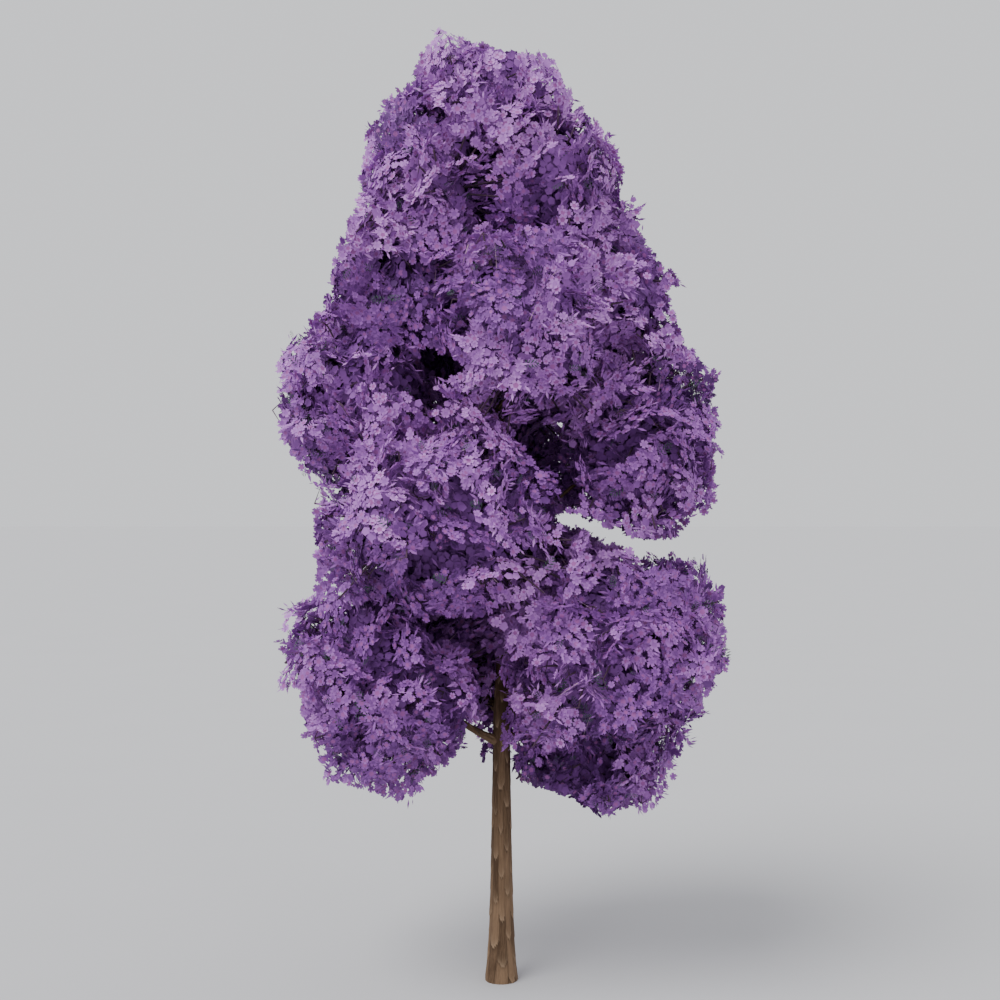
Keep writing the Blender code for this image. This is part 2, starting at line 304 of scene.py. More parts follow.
class Wood(Enum):
    """The finishes of twigs too thin for a bark relief."""

    # The twig's dark purple-brown is partly its own wood and partly painted shade, for these twigs lie under
    # the sprays.
    TWIG = PlainFinish("twig", (84, 60, 80), roughness=0.8)
    BARE = PlainFinish("twig_bare", (186, 150, 176), roughness=0.75)


class Green(Enum):
    """The finishes of the few leaves that show among the blossom."""

    DARK = PlainFinish("leaf_dark", (42, 58, 52), roughness=0.6)
    TEAL = PlainFinish("leaf_teal", (66, 86, 78), roughness=0.6)


def number_of(choice: Enum) -> int:
    """The number of a choice in its list, which is its finish's number in a batch."""
    return list(type(choice)).index(choice)


DARKEST = number_of(Tint.DARK)


@dataclass(frozen=True)
class BarkFinish:
    """Fibrous bark: pale tips on its plates, dark joints between them and fine fibres that run upwards."""

    name: str
    dark: tuple[float, float, float] = (76, 57, 41)
    light: tuple[float, float, float] = (132, 106, 82)
    pale: tuple[float, float, float] = (170, 145, 118)
    joint: tuple[float, float, float] = (52, 37, 27)
    fibre_scale: tuple[float, float, float] = (95.0, 95.0, 5.0)
    fibre_detail: float = 4.0
    fibre_grit: float = 0.65
    fibre_contrast: float = 1.5
    patch_scale: tuple[float, float, float] = (9.0, 9.0, 2.2)
    patch_detail: float = 3.0
    patch_grit: float = 0.5
    patch_contrast: float = 0.9
    tone_contrast: float = 0.34
    brightness: float = 0.42
    least_pale: float = 0.25
    fibre_pale: float = 0.8
    joint_strength: float = 0.75
    roughness: float = 0.78
    fibre_roughness: float = 0.18
    gloss: float = 0.25
    bump: float = 0.55
    bump_height: float = 0.004
    patch_bump: float = 0.4

    def material(self) -> bpy.types.Material:
        """Makes the finish's material.

        Returns:
            The material, which reads the shades that keep_shades() puts on a mesh.
        """
        graph = Graph(self.name)
        fibres = graph.noise(self.fibre_scale, self.fibre_detail, self.fibre_grit)
        patches = graph.noise(self.patch_scale, self.patch_detail, self.patch_grit)
        # The tone attribute holds each plate's tone at random and, on the trunk, the crown's painted shadow.
        tone = graph.attribute("tone")
        tip = graph.attribute("tip")
        joint = graph.attribute("joint")
        grain = (fibres - 0.5) * self.fibre_contrast + (patches - 0.5) * self.patch_contrast
        light = (grain + tone * self.tone_contrast + self.brightness).held()
        body = graph.blend(light, linear(self.dark), linear(self.light))
        pale = (tip * (self.least_pale + fibres * self.fibre_pale)).held()
        tipped = graph.blend(pale, body, linear(self.pale))
        worn = graph.blend((joint * self.joint_strength).held(), tipped, linear(self.joint))
        graph.paint(worn, self.roughness + fibres * self.fibre_roughness, self.gloss)
        height = fibres + patches * self.patch_bump
        inputs = {"Strength": self.bump, "Distance": self.bump_height, "Height": height}
        bumps = graph.node("Bump", {}, inputs).outputs["Normal"]
        graph.feed(graph.shader.inputs["Normal"], bumps)
        return graph.material


# Modelling


def choose(made: bpy.types.Object) -> None:
    """Makes an object the only selected one.

    Args:
        made: the object.
    """
    bpy.ops.object.select_all(action="DESELECT")
    made.select_set(True)
    bpy.context.view_layer.objects.active = made


def edit(made: bpy.types.Object) -> None:
    """Chooses an object, and enters its edit mode with nothing selected.

    Args:
        made: the object.
    """
    choose(made)
    bpy.ops.object.mode_set(mode="EDIT")
    bpy.ops.mesh.select_all(action="DESELECT")


def leave() -> None:
    """Goes back to object mode."""
    bpy.ops.object.mode_set(mode="OBJECT")


def mark_corners(made: bpy.types.Object, wanted: Sequence[int]) -> None:
    """Selects these corners of a mesh in edit mode, and nothing else.

    Args:
        made: an object in edit mode.
        wanted: the corners' numbers.
    """
    bpy.ops.mesh.select_mode(type="VERT")
    bpy.ops.mesh.select_all(action="DESELECT")
    leave()
    for index in wanted:
        made.data.vertices[index].select = True
    bpy.ops.object.mode_set(mode="EDIT")


def smooth(made: bpy.types.Object) -> None:
    """Shades an object smoothly, but for its sharp edges."""
    choose(made)
    bpy.ops.object.shade_smooth_by_angle(angle=SMOOTH_ANGLE)


def corners_of(mesh: bpy.types.Mesh) -> np.ndarray:
    """Reads a mesh's corners.

    Args:
        mesh: the mesh.

    Returns:
        Rows of X, Y and Z.
    """
    places = np.empty(len(mesh.vertices) * 3)
    mesh.vertices.foreach_get("co", places)
    return places.reshape(-1, 3)


def unit(rows: np.ndarray) -> np.ndarray:
    """Gives each row a length of 1."""
    return rows / np.maximum(np.linalg.norm(rows, axis=-1, keepdims=True), TINY)


@dataclass(frozen=True)
class BarkPlates:
    """Long plates of bark in columns, each lying over the next one down, with staggered lower tips."""

    columns: int = 10
    length: float = 0.553
    depth: float = 0.009
    tip_round: float = 0.17
    tip_curve: float = 1.7
    jitter: float = 0.2
    sway: float = 0.16
    sway_rates: tuple[float, float] = (2.3, 5.1)
    lap_curve: float = 1.6
    edge_fall: float = 0.55
    mean_lap: float = 0.45
    groove: float = 0.3
    ridge: float = 0.0013
    ridges: int = 3
    ridge_rate: float = 3.0
    tip_fade: float = 0.075
    tip_fall: float = 0.6
    joint_fade: float = 0.035
    side_joint: float = 0.8
    chance_rates: tuple[float, float, float] = (12.9898, 78.233, 43758.5453)
    chance_start: float = 4.0

    def read(self, turns: np.ndarray, heights: np.ndarray) -> dict[str, np.ndarray]:
        """Reads the bark at these places.

        Args:
            turns: angles round the limb.
            heights: distances along it.

        Returns:
            How far the bark stands out, and the shares of tip, joint and tone.
        """
        slow, fast = self.sway_rates
        drift = self.sway * np.sin(slow * heights + 2 * turns)
        drift += 0.5 * self.sway * np.sin(fast * heights + 3 * turns + 1.0)
        place = turns / math.tau * self.columns + drift
        column = np.floor(place)
        across = 2 * (place - column) - 1
        column = np.mod(column, self.columns)
        stagger = np.mod(column, 2) * 0.5 + self.jitter * self._chance(column, column)
        up = heights / self.length + stagger - self.tip_round * np.abs(across) ** self.tip_curve
        row = np.floor(up)
        along = up - row
        lap = (1 - along) ** self.lap_curve * (1 - self.edge_fall * across**4)
        wave = 2.0 * np.sin(self.ridge_rate * heights + column)
        ridge = np.sin(place * math.tau * self.ridges + wave)
        relief = self.depth * (lap - self.mean_lap) + self.ridge * ridge
        end_joint = np.exp(-(1 - along) / self.joint_fade)
        return {
            "relief": relief - self.groove * self.depth * across**8,
            "tip": np.exp(-along / self.tip_fade) * (1 - self.tip_fall * across**2),
            "joint": np.clip(across**10 * self.side_joint + end_joint, 0, 1),
            "tone": 2 * self._chance(column, row) - 1,
        }

    def _chance(self, column: np.ndarray, row: np.ndarray) -> np.ndarray:
        """A steady number from 0 to 1 for each plate.

        Args:
            column: the plates' columns.
            row: their rows.

        Returns:
            The numbers, which look scattered.
        """
        column_rate, row_rate, spread = self.chance_rates
        scattered = np.sin(column * column_rate + row * row_rate + self.chance_start) * spread
        return scattered - np.floor(scattered)


def keep_shades(mesh: bpy.types.Mesh, read: dict[str, np.ndarray]) -> None:
    """Keeps the bark's shades on a mesh, for its finish to read.

    Args:
        mesh: a limb's mesh.
        read: what BarkPlates.read() gave for its corners.
    """
    for name in ("tip", "joint", "tone"):
        kept = mesh.attributes.new(name, "FLOAT", "POINT")
        kept.data.foreach_set("value", read[name].astype(np.float32))


def straight_limb(name: str, sides: int, rings: Sequence[float], cuts: int) -> bpy.types.Object:
    """Models a straight closed limb of radius 1 on +Z, ready to be shaped.

    Args:
        name: the object's name.
        sides: its sides before they are subdivided.
        rings: the heights of its rings before they are subdivided.
        cuts: how many cuts each side gets, both ways.

    Returns:
        The limb's object.
    """
    bpy.ops.mesh.primitive_circle_add(vertices=sides, radius=1.0, location=(0, 0, rings[0]))
    made = bpy.context.object
    made.name = name
    edit(made)
    bpy.ops.mesh.select_all(action="SELECT")
    for low, high in zip(rings, rings[1:]):
        move = {"value": (0, 0, high - low)}
        bpy.ops.mesh.extrude_region_move(TRANSFORM_OT_translate=move)
    bpy.ops.mesh.select_all(action="SELECT")
    bpy.ops.mesh.subdivide(number_cuts=cuts)
    bpy.ops.mesh.select_mode(type="EDGE")
    bpy.ops.mesh.select_all(action="DESELECT")
    bpy.ops.mesh.select_non_manifold(extend=False)
    bpy.ops.mesh.fill_holes(sides=0)
    bpy.ops.mesh.select_all(action="SELECT")
    bpy.ops.mesh.normals_make_consistent(inside=False)
    leave()
    bpy.ops.object.transform_apply(location=True, rotation=True, scale=True)
    return made


def finish_piece(made: bpy.types.Object, nodes: Sequence[str]) -> None:
    """Ties a finished piece to the solids.

    Args:
        made: the piece.
        nodes: the names of the solids that it stands for.
    """
    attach(made, "root")
    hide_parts(*nodes)
    log.info("%s: %d triangles, for %s", made.name, triangles_in(made), ", ".join(nodes))


def triangles_in(made: bpy.types.Object) -> int:
    """Counts an object's triangles."""
    made.data.calc_loop_triangles()
    return len(made.data.loop_triangles)


# Trunk and boughs


@dataclass(frozen=True)
class Limb:
    """A straight stretch of a trunk or bough."""

    start: np.ndarray
    end: np.ndarray
    radius: float

    def gap(self, points: np.ndarray) -> np.ndarray:
        """How far points lie outside the limb's bark.

        Args:
            points: rows of X, Y and Z.

        Returns:
            A distance for each point, below 0 inside the wood.
        """
        span = self.end - self.start
        share = np.clip((points - self.start) @ span / (span @ span), 0, 1)
        nearest = self.start + share[:, None] * span
        return np.linalg.norm(points - nearest, axis=1) - self.radius


def stretches(middles: np.ndarray, radii: np.ndarray) -> list[Limb]:
    """Joins points along a limb with straight stretches, each as thick as its start."""
    return [Limb(*stretch) for stretch in zip(middles, middles[1:], radii)]


@dataclass(frozen=True)
class Trunk:
    """The trunk, from its flat foot to the tip of its leader, with its bark, which has the crown's painted
    shadow near the top.
    """

    height: float = 10.30
    leader_radius: float = 0.024
    foot_radius: float = 0.162
    taper: float = 1.40
    flare_radius: float = 0.048
    flare_height: float = 0.45
    straight_height: float = 3.4
    wander: float = 0.08
    wander_run_in: float = 1.5
    wander_rates: tuple[float, float] = (0.8, 0.6)
    wander_starts: tuple[float, float] = (0.5, 2.0)
    # The bark darkens by shade from shade_from upwards over shade_run: a painted shadow of the crown.
    shade: float = 1.8
    shade_from: float = 2.0
    shade_run: float = 1.2
    sides: int = 24
    cuts: int = 3
    fine_height: float = 4.0
    fine_rings: int = 40
    coarse_rings: int = 21
    limb_ends: int = 24
    bark: BarkPlates = BarkPlates()

    def axis(self, heights: np.ndarray) -> np.ndarray:
        """The trunk's middle, upright below the crown and wandering a little inside it.

        Args:
            heights: the heights to find it at.

        Returns:
            A row of X, Y and Z for each.
        """
        above = np.maximum(0.0, heights - self.straight_height)
        sway = self.wander * np.minimum(1.0, above / self.wander_run_in)
        waves = zip(self.wander_rates, self.wander_starts)
        x, y = (sway * np.sin(rate * above + start) for rate, start in waves)
        return np.stack([x, y, heights], axis=-1)

    def radius(self, heights: np.ndarray) -> np.ndarray:
        """The trunk's taper, with the flare of its foot.

        Args:
            heights: the heights to find it at.

        Returns:
            A radius for each.
        """
        taper = np.maximum(0.0, 1.0 - heights / self.height) ** self.taper
        flare = self.flare_radius * np.exp(-heights / self.flare_height)
        return self.leader_radius + (self.foot_radius - self.leader_radius) * taper + flare

    def limbs(self) -> list[Limb]:
        """The trunk as straight stretches."""
        heights = np.linspace(0.0, self.height, self.limb_ends)
        return stretches(self.axis(heights), self.radius(heights))

    def build(self, finish: bpy.types.Material) -> bpy.types.Object:
        """Models the trunk with its bark relief.

        Args:
            finish: the bark's material.

        Returns:
            The trunk's object.
        """
        fine = np.linspace(0.0, self.fine_height, self.fine_rings + 1)
        coarse = np.linspace(self.fine_height, self.height, self.coarse_rings + 1)
        made = straight_limb("trunk_bark", self.sides, [*fine, *coarse[1:]], self.cuts)
        places = corners_of(made.data)
        heights = places[:, 2]
        turns = np.arctan2(places[:, 1], places[:, 0])
        read = self.bark.read(turns, heights)
        # Painted shadow: the bark gets darker under the crown.
        read["tone"] -= self.shade * np.clip((heights - self.shade_from) / self.shade_run, 0, 1)
        thin = self.radius(heights) / self.foot_radius
        radii = self.radius(heights) + read["relief"] * np.minimum(1.0, thin)
        out = np.stack([np.cos(turns), np.sin(turns), np.zeros_like(turns)], axis=-1)
        shaped = self.axis(heights) + out * radii[:, None]
        made.data.vertices.foreach_set("co", shaped.astype(np.float32).ravel())
        keep_shades(made.data, read)
        made.data.materials.append(finish)
        smooth(made)
        finish_piece(made, ["trunk"])
        return made


@dataclass(frozen=True)
class Wall:
    """A flat wall of a room: the neighbour beyond it, its normal and how far along that it stands."""

    beyond: "Room"
    normal: np.ndarray
    place: float


class Room:
    """A mass's rounded room, with flat walls between it and its neighbours' rooms."""

    roundness: float = 2.4
    wall_margin: float = 0.012

    def __init__(self, mass: Mass) -> None:
        """Places the room of a mass.

        Args:
            mass: the mass that it holds.
        """
        around = math.radians(mass.bearing)
        self.mass = mass
        self.centre = np.array([mass.out * math.cos(around), mass.out * math.sin(around), mass.height])
        self.half = np.array([mass.wide, mass.deep, mass.tall]) / 2
        lean = math.radians(mass.tilt)
        cos, sin = math.cos(lean), math.sin(lean)
        self.turn = np.array([[cos, 0, sin], [0, 1, 0], [-sin, 0, cos]])
        self.walls: list[Wall] = []

    def size(self, ways: np.ndarray) -> np.ndarray:
        """How far the rounded room reaches along unit rows, with no walls."""
        local = np.abs(ways @ self.turn) / self.half
        return np.sum(local**self.roundness, axis=-1) ** (-1.0 / self.roundness)

    def wall_off(self, other: "Room") -> None:
        """Puts a wall between two rooms, which splits the way between their centres by their sizes.

        Args:
            other: the neighbour's room.
        """
        apart = other.centre - self.centre
        far = np.linalg.norm(apart)
        if far > max(self.half) + max(other.half):
            return
        normal = apart / far
        mine, theirs = self.size(normal), other.size(-normal)
        place = far * mine / (mine + theirs) - self.wall_margin
        self.walls.append(Wall(other, normal, place))

    def reach(self, ways: np.ndarray, past: float = 0.0) -> np.ndarray:
        """How far the mass may reach from its centre.

        Args:
            ways: unit rows.
            past: how far petals and leaves may mingle with a neighbour's, past a wall.

        Returns:
            A distance for each row.
        """
        far = self.size(ways)
        for wall in self.walls:
            facing = ways @ wall.normal
            cut = np.where(facing > NUDGE, (wall.place + past) / np.maximum(facing, NUDGE), np.inf)
            far = np.minimum(far, cut)
        return far

    def open_share_of(self, points: np.ndarray) -> np.ndarray:
        """Where points lie between the room's centre, at 0, and its rounded bound, at 1, with no walls."""
        away = points - self.centre
        return np.linalg.norm(away, axis=1) / self.size(unit(away))

    def share(self, points: np.ndarray, past: float = 0.0) -> np.ndarray:
        """Where points lie between the room's centre, at 0, and its walls, at 1.

        Args:
            points: rows of X, Y and Z.
            past: how far they may go past a wall.

        Returns:
            A share for each point.
        """
        away = points - self.centre
        far = np.linalg.norm(away, axis=1)
        return far / self.reach(unit(away), past)


def rooms_of(masses: Sequence[Mass]) -> list[Room]:
    """Makes the masses' rooms, with their walls.

    Args:
        masses: the masses.

    Returns:
        A room for each, in the same order.
    """
    rooms = [Room(mass) for mass in masses]
    for room in rooms:
        for other in rooms:
            if other is not room:
                room.wall_off(other)
    return rooms


def curve(start: np.ndarray, bend: np.ndarray, end: np.ndarray, t: np.ndarray) -> np.ndarray:
    """Points on a curve that leaves its start towards a bend, and comes to its end from there."""
    return start * (1 - t) ** 2 + bend * 2 * t * (1 - t) + end * t**2


@dataclass(frozen=True)
class BoughLine:
    """The line of a bough and of the stem that carries it on to the middle of its mass."""

    room: Room
    trunk: Trunk
    share: float = 0.56
    tip_share: float = 0.5
    collar: float = 0.45
    collar_end: float = 3.0
    rise: float = 0.28
    entry: float = 0.66
    leader_from: float = 0.985
    stem_bend: float = 0.30
    stem_taper: float = 0.6
    limb_ends: int = 8

    def points(self, count: int) -> tuple[np.ndarray, np.ndarray]:
        """Points and radii along the bough alone.

        Args:
            count: how many of them.

        Returns:
            Rows of X, Y and Z, and a radius for each.
        """
        mass = self.room.mass
        start = self.trunk.axis(np.array(mass.fork))
        way = unit(self.room.centre - start)
        entry = self.room.centre - way * self.entry * self.room.size(-way)
        span = entry - start
        bend = start + span * np.array([0.5, 0.5, self.rise])
        t = np.linspace(0, 1, count)[:, None]
        line = curve(start, bend, entry, t)
        t = t[:, 0]
        thick = self.share * self.trunk.radius(np.array(mass.fork))
        collar = 1.0 + self.collar * np.maximum(0.0, 1.0 - self.collar_end * t)
        return line, thick * (1.0 + (self.tip_share - 1.0) * t) * collar

    def whole(self, count: int) -> tuple[np.ndarray, np.ndarray]:
        """Points and radii along the bough and its stem, or along the stem alone at the leader's tip.

        Args:
            count: how many of them.

        Returns:
            Rows of X, Y and Z, and a radius for each.
        """
        if self.room.mass.fork:
            line, radii = self.points(count * 2 // 3)
        else:
            heights = self.trunk.height * np.array([self.leader_from, 1.0])
            line, radii = self.trunk.axis(heights), self.trunk.radius(heights)
        tip, way = line[-1], unit(line[-1] - line[-2])
        far = np.linalg.norm(self.room.centre - tip)
        bend = tip + way * far * self.stem_bend
        t = np.linspace(0, 1, count - len(line) + 1)[1:, None]
        stem = curve(tip, bend, self.room.centre, t)
        thin = radii[-1] * (1 + (self.stem_taper - 1) * t[:, 0])
        return np.concatenate([line, stem]), np.concatenate([radii, thin])

    def limbs(self) -> list[Limb]:
        """The bough as straight stretches."""
        return stretches(*self.points(self.limb_ends))


def between(places: np.ndarray, run: np.ndarray, rows: np.ndarray) -> np.ndarray:
    """Reads rows of X, Y and Z between the places that they are given for."""
    return np.stack([np.interp(places, run, column) for column in rows.T], axis=-1)


@dataclass(frozen=True)
class Boughs:
    """Every bough with its stem, in one piece of bark."""

    lines: tuple[BoughLine, ...]
    sides: int = 10
    rings: int = 17
    cuts: int = 1
    line_points: int = 48
    aside: tuple[float, float, float] = (0.31, 0.17, 0.93)
    bark: BarkPlates = BarkPlates(columns=6, length=0.30, depth=0.004, ridge=0.0006, ridges=2)

    def build(self, finish: bpy.types.Material) -> bpy.types.Object:
        """Models one straight limb, then bends a copy of it along each bough.

        Args:
            finish: the bark's material.

        Returns:
            The boughs' object.
        """
        stock = straight_limb("bough_stock", self.sides, list(np.linspace(0, 1, self.rings)), self.cuts)
        bent = []
        for line in self.lines:
            copy = stock.copy()
            copy.data = stock.data.copy()
            bpy.context.collection.objects.link(copy)
            self._bend(copy.data, line)
            bent.append(copy)
        bpy.data.objects.remove(stock)
        choose(bent[0])
        for other in bent[1:]:
            other.select_set(True)
        bpy.ops.object.join()
        made = bent[0]
        made.name = "bough_bark"
        made.data.materials.append(finish)
        smooth(made)
        nodes = ["bough_" + line.room.mass.name for line in self.lines if line.room.mass.fork]
        finish_piece(made, nodes)
        return made

    def _bend(self, mesh: bpy.types.Mesh, bough: BoughLine) -> None:
        """Bends a straight limb of length 1 along a bough, and gives it its bark.

        Args:
            mesh: the limb's own mesh.
            bough: the line that it follows.
        """
        line, radii = bough.whole(self.line_points)
        steps = np.linalg.norm(np.diff(line, axis=0), axis=1)
        run = np.concatenate([[0.0], np.cumsum(steps)])
        places = corners_of(mesh)
        turns = np.arctan2(places[:, 1], places[:, 0])
        along = places[:, 2] * run[-1]
        read = self.bark.read(turns, along)
        middle = between(along, run, line)
        ways = unit(np.gradient(line, run, axis=0))
        way = unit(between(along, run, ways))
        side = unit(np.cross(way, np.array(self.aside)))
        up = np.cross(way, side)
        thick = np.interp(along, run, radii) + read["relief"]
        out = side * np.cos(turns)[:, None] + up * np.sin(turns)[:, None]
        shaped = middle + out * thick[:, None]
        mesh.vertices.foreach_set("co", shaped.astype(np.float32).ravel())
        keep_shades(mesh, read)


# Small shapes that are modelled once and copied


@dataclass(frozen=True)
class Shape:
    """A small shape in triangles, to be copied many times."""

    corners: np.ndarray
    faces: np.ndarray
    inner: np.ndarray

    @classmethod
    def taken_from(cls, made: bpy.types.Object, within: float = 0.0) -> "Shape":
        """Reads a modelled object in triangles, and removes it.

        Args:
            made: the object.
            within: faces that keep this near its Z axis are inner ones, which may take another finish.

        Returns:
            Its shape.
        """
        edit(made)
        bpy.ops.mesh.select_all(action="SELECT")
        bpy.ops.mesh.quads_convert_to_tris()
        leave()
        faces = np.array([face.vertices[:] for face in made.data.polygons])
        corners = corners_of(made.data)
        inner = np.linalg.norm(corners[:, :2], axis=1)[faces].max(axis=1) < within
        bpy.data.objects.remove(made)
        return cls(corners, faces, inner)


def blossom_shape(lobes: int = 5, notch: float = 0.52, width: float = 0.78, rise: float = 0.15) -> Shape:
    """Models a flower of radius 1 that faces +Z: lobes pulled out of the sides of a small middle.

    Args:
        lobes: how many lobes it has.
        notch: how far out the notches between them are.
        width: how wide the lobes' ends are.
        rise: how far their ends stand above the middle.

    Returns:
        The flower's shape.
    """
    bpy.ops.mesh.primitive_circle_add(vertices=lobes, radius=notch, fill_type="NGON")
    made = bpy.context.object
    edit(made)
    side = 2 * notch * math.sin(math.pi / lobes)
    near = notch * math.cos(math.pi / lobes)
    # Each limit is a little over what it has to take in: half a side, and the notches.
    half_side, notches = 0.51 * side, 1.01 * notch
    for i in range(lobes):
        turn = math.pi / 2 + math.tau * (i + 0.5) / lobes
        out = Vector((math.cos(turn), math.sin(turn), 0.0))
        corners = made.data.vertices
        ends = [corner.index for corner in corners if (corner.co - out * near).length < half_side]
        mark_corners(made, ends)
        lift = out * (math.cos(math.asin(width / 2)) - near) + Vector((0, 0, rise))
        bpy.ops.mesh.extrude_region_move(TRANSFORM_OT_translate={"value": lift})
        middle = out * near + lift
        bpy.ops.transform.resize(value=(width / side,) * 3, center_override=middle)
    leave()
    return Shape.taken_from(made, within=notches)


def disc_shape(sides: int, lift: float = 0.25) -> Shape:
    """Models a disc of radius 1 that faces +Z, with one corner turned up.

    Args:
        sides: how many sides it has.
        lift: how far that corner is turned up.

    Returns:
        The disc's shape.
    """
    bpy.ops.mesh.primitive_circle_add(vertices=sides, radius=1.0, fill_type="NGON")
    made = bpy.context.object
    edit(made)
    mark_corners(made, [0])
    bpy.ops.transform.translate(value=(0, 0, lift))
    leave()
    return Shape.taken_from(made)


def blade_shape(slim: float) -> Shape:
    """Models a slim pointed blade of length 1 along +X that faces +Z.

    Args:
        slim: its width over its length.

    Returns:
        The blade's shape.
    """
    bpy.ops.mesh.primitive_plane_add(size=1.0)
    made = bpy.context.object
    edit(made)
    bpy.ops.mesh.select_all(action="SELECT")
    half_diagonal = math.sqrt(0.5)
    sizes = (half_diagonal, slim * half_diagonal, 1)
    bpy.ops.transform.rotate(value=math.radians(45), orient_axis="Z", center_override=(0, 0, 0))
    bpy.ops.transform.translate(value=(half_diagonal, 0, 0))
    bpy.ops.transform.resize(value=sizes, center_override=(0, 0, 0))
    leave()
    return Shape.taken_from(made)


@dataclass(frozen=True)
class Leaf:
    """A feathery leaf of length 1 along +X that faces +Z: pairs of slim leaflets on a thin rib."""

    pairs: int = 5
    slim: float = 0.19
    first: float = 0.12
    run: float = 0.80
    open_angle: float = 62.0
    closing: float = 22.0
    longest: float = 0.46
    bulge: tuple[float, float, float] = (0.18, 0.72, 0.8)
    tip: tuple[float, float] = (0.86, 0.28)
    droop: float = 0.35

    def shape(self) -> Shape:
        """Models one leaflet, and sets copies of it along the rib.

        Returns:
            The leaf's shape.
        """
        leaflet = blade_shape(self.slim)
        corners, faces = [], []
        for angle, along, size in self._leaflets():
            cos, sin = math.cos(angle), math.sin(angle)
            turned = leaflet.corners * size @ np.array([[cos, sin, 0], [-sin, cos, 0], [0, 0, 1]])
            turned[:, 2] -= self.droop * (turned[:, 0] ** 2 + turned[:, 1] ** 2)
            faces.append(leaflet.faces + len(leaflet.corners) * len(corners))
            corners.append(turned + (along, 0.0, 0.0))
        joined = np.concatenate(faces)
        return Shape(np.concatenate(corners), joined, np.zeros(len(joined), bool))

    def _leaflets(self) -> list[tuple[float, float, float]]:
        """Lists the leaflets.

        Returns:
            Each one's angle to the rib, its place along it and its length.
        """
        start, span, power = self.bulge
        listed = []
        for i in range(self.pairs):
            along = self.first + self.run * i / (self.pairs - 1)
            angle = math.radians(self.open_angle - self.closing * along)
            size = self.longest * math.sin(math.pi * (start + span * along)) ** power
            listed += [(-angle, along, size), (angle, along, size)]
        return [*listed, (0.0, *self.tip)]


def twig_shape(tip: float, sides: int = 3, twist: float = 30.0, shift: float = 0.4) -> Shape:
    """Models a twig of length 1 on +Z, of radius 1 at its foot, twisted and a little out of true.

    Args:
        tip: its radius at its end, over that at its foot, or 0 for a point.
        sides: how many sides it has.
        twist: how far its end is turned, in degrees.
        shift: how far its end is moved sideways, in radii of its foot.

    Returns:
        The twig's shape, closed at both ends.
    """
    sizes = {"radius1": 1.0, "radius2": tip, "depth": 1.0}
    bpy.ops.mesh.primitive_cone_add(vertices=sides, location=(0, 0, 0.5), **sizes)
    made = bpy.context.object
    bpy.ops.object.transform_apply(location=True, rotation=True, scale=True)
    edit(made)
    mark_corners(made, [corner.index for corner in made.data.vertices if corner.co.z > 0.5])
    bpy.ops.transform.rotate(value=math.radians(twist), orient_axis="Z", center_override=(0, 0, 1))
    bpy.ops.transform.translate(value=(shift, 0, 0))
    leave()
    return Shape.taken_from(made)


@dataclass(frozen=True)
class Shapes:
    """The small shapes that the crown is made of."""

    flower: Shape
    disc: Shape
    leaf: Shape
    petal: Shape
    twig: Shape
    rib: Shape

    @classmethod
    def modelled(cls, disc_sides: int = 5, petal_slim: float = 0.24, twig_tip: float = 0.65) -> "Shapes":
        """Models each shape once.

        Args:
            disc_sides: how many sides a simple flower has.
            petal_slim: a petal's width over its length.
            twig_tip: a twig's radius at its end, over that at its foot.

        Returns:
            The shapes.
        """
        flower, disc, leaf = blossom_shape(), disc_shape(disc_sides), Leaf().shape()
        return cls(flower, disc, leaf, blade_shape(petal_slim), twig_shape(twig_tip), twig_shape(0.0))


# Joined pieces of many copies


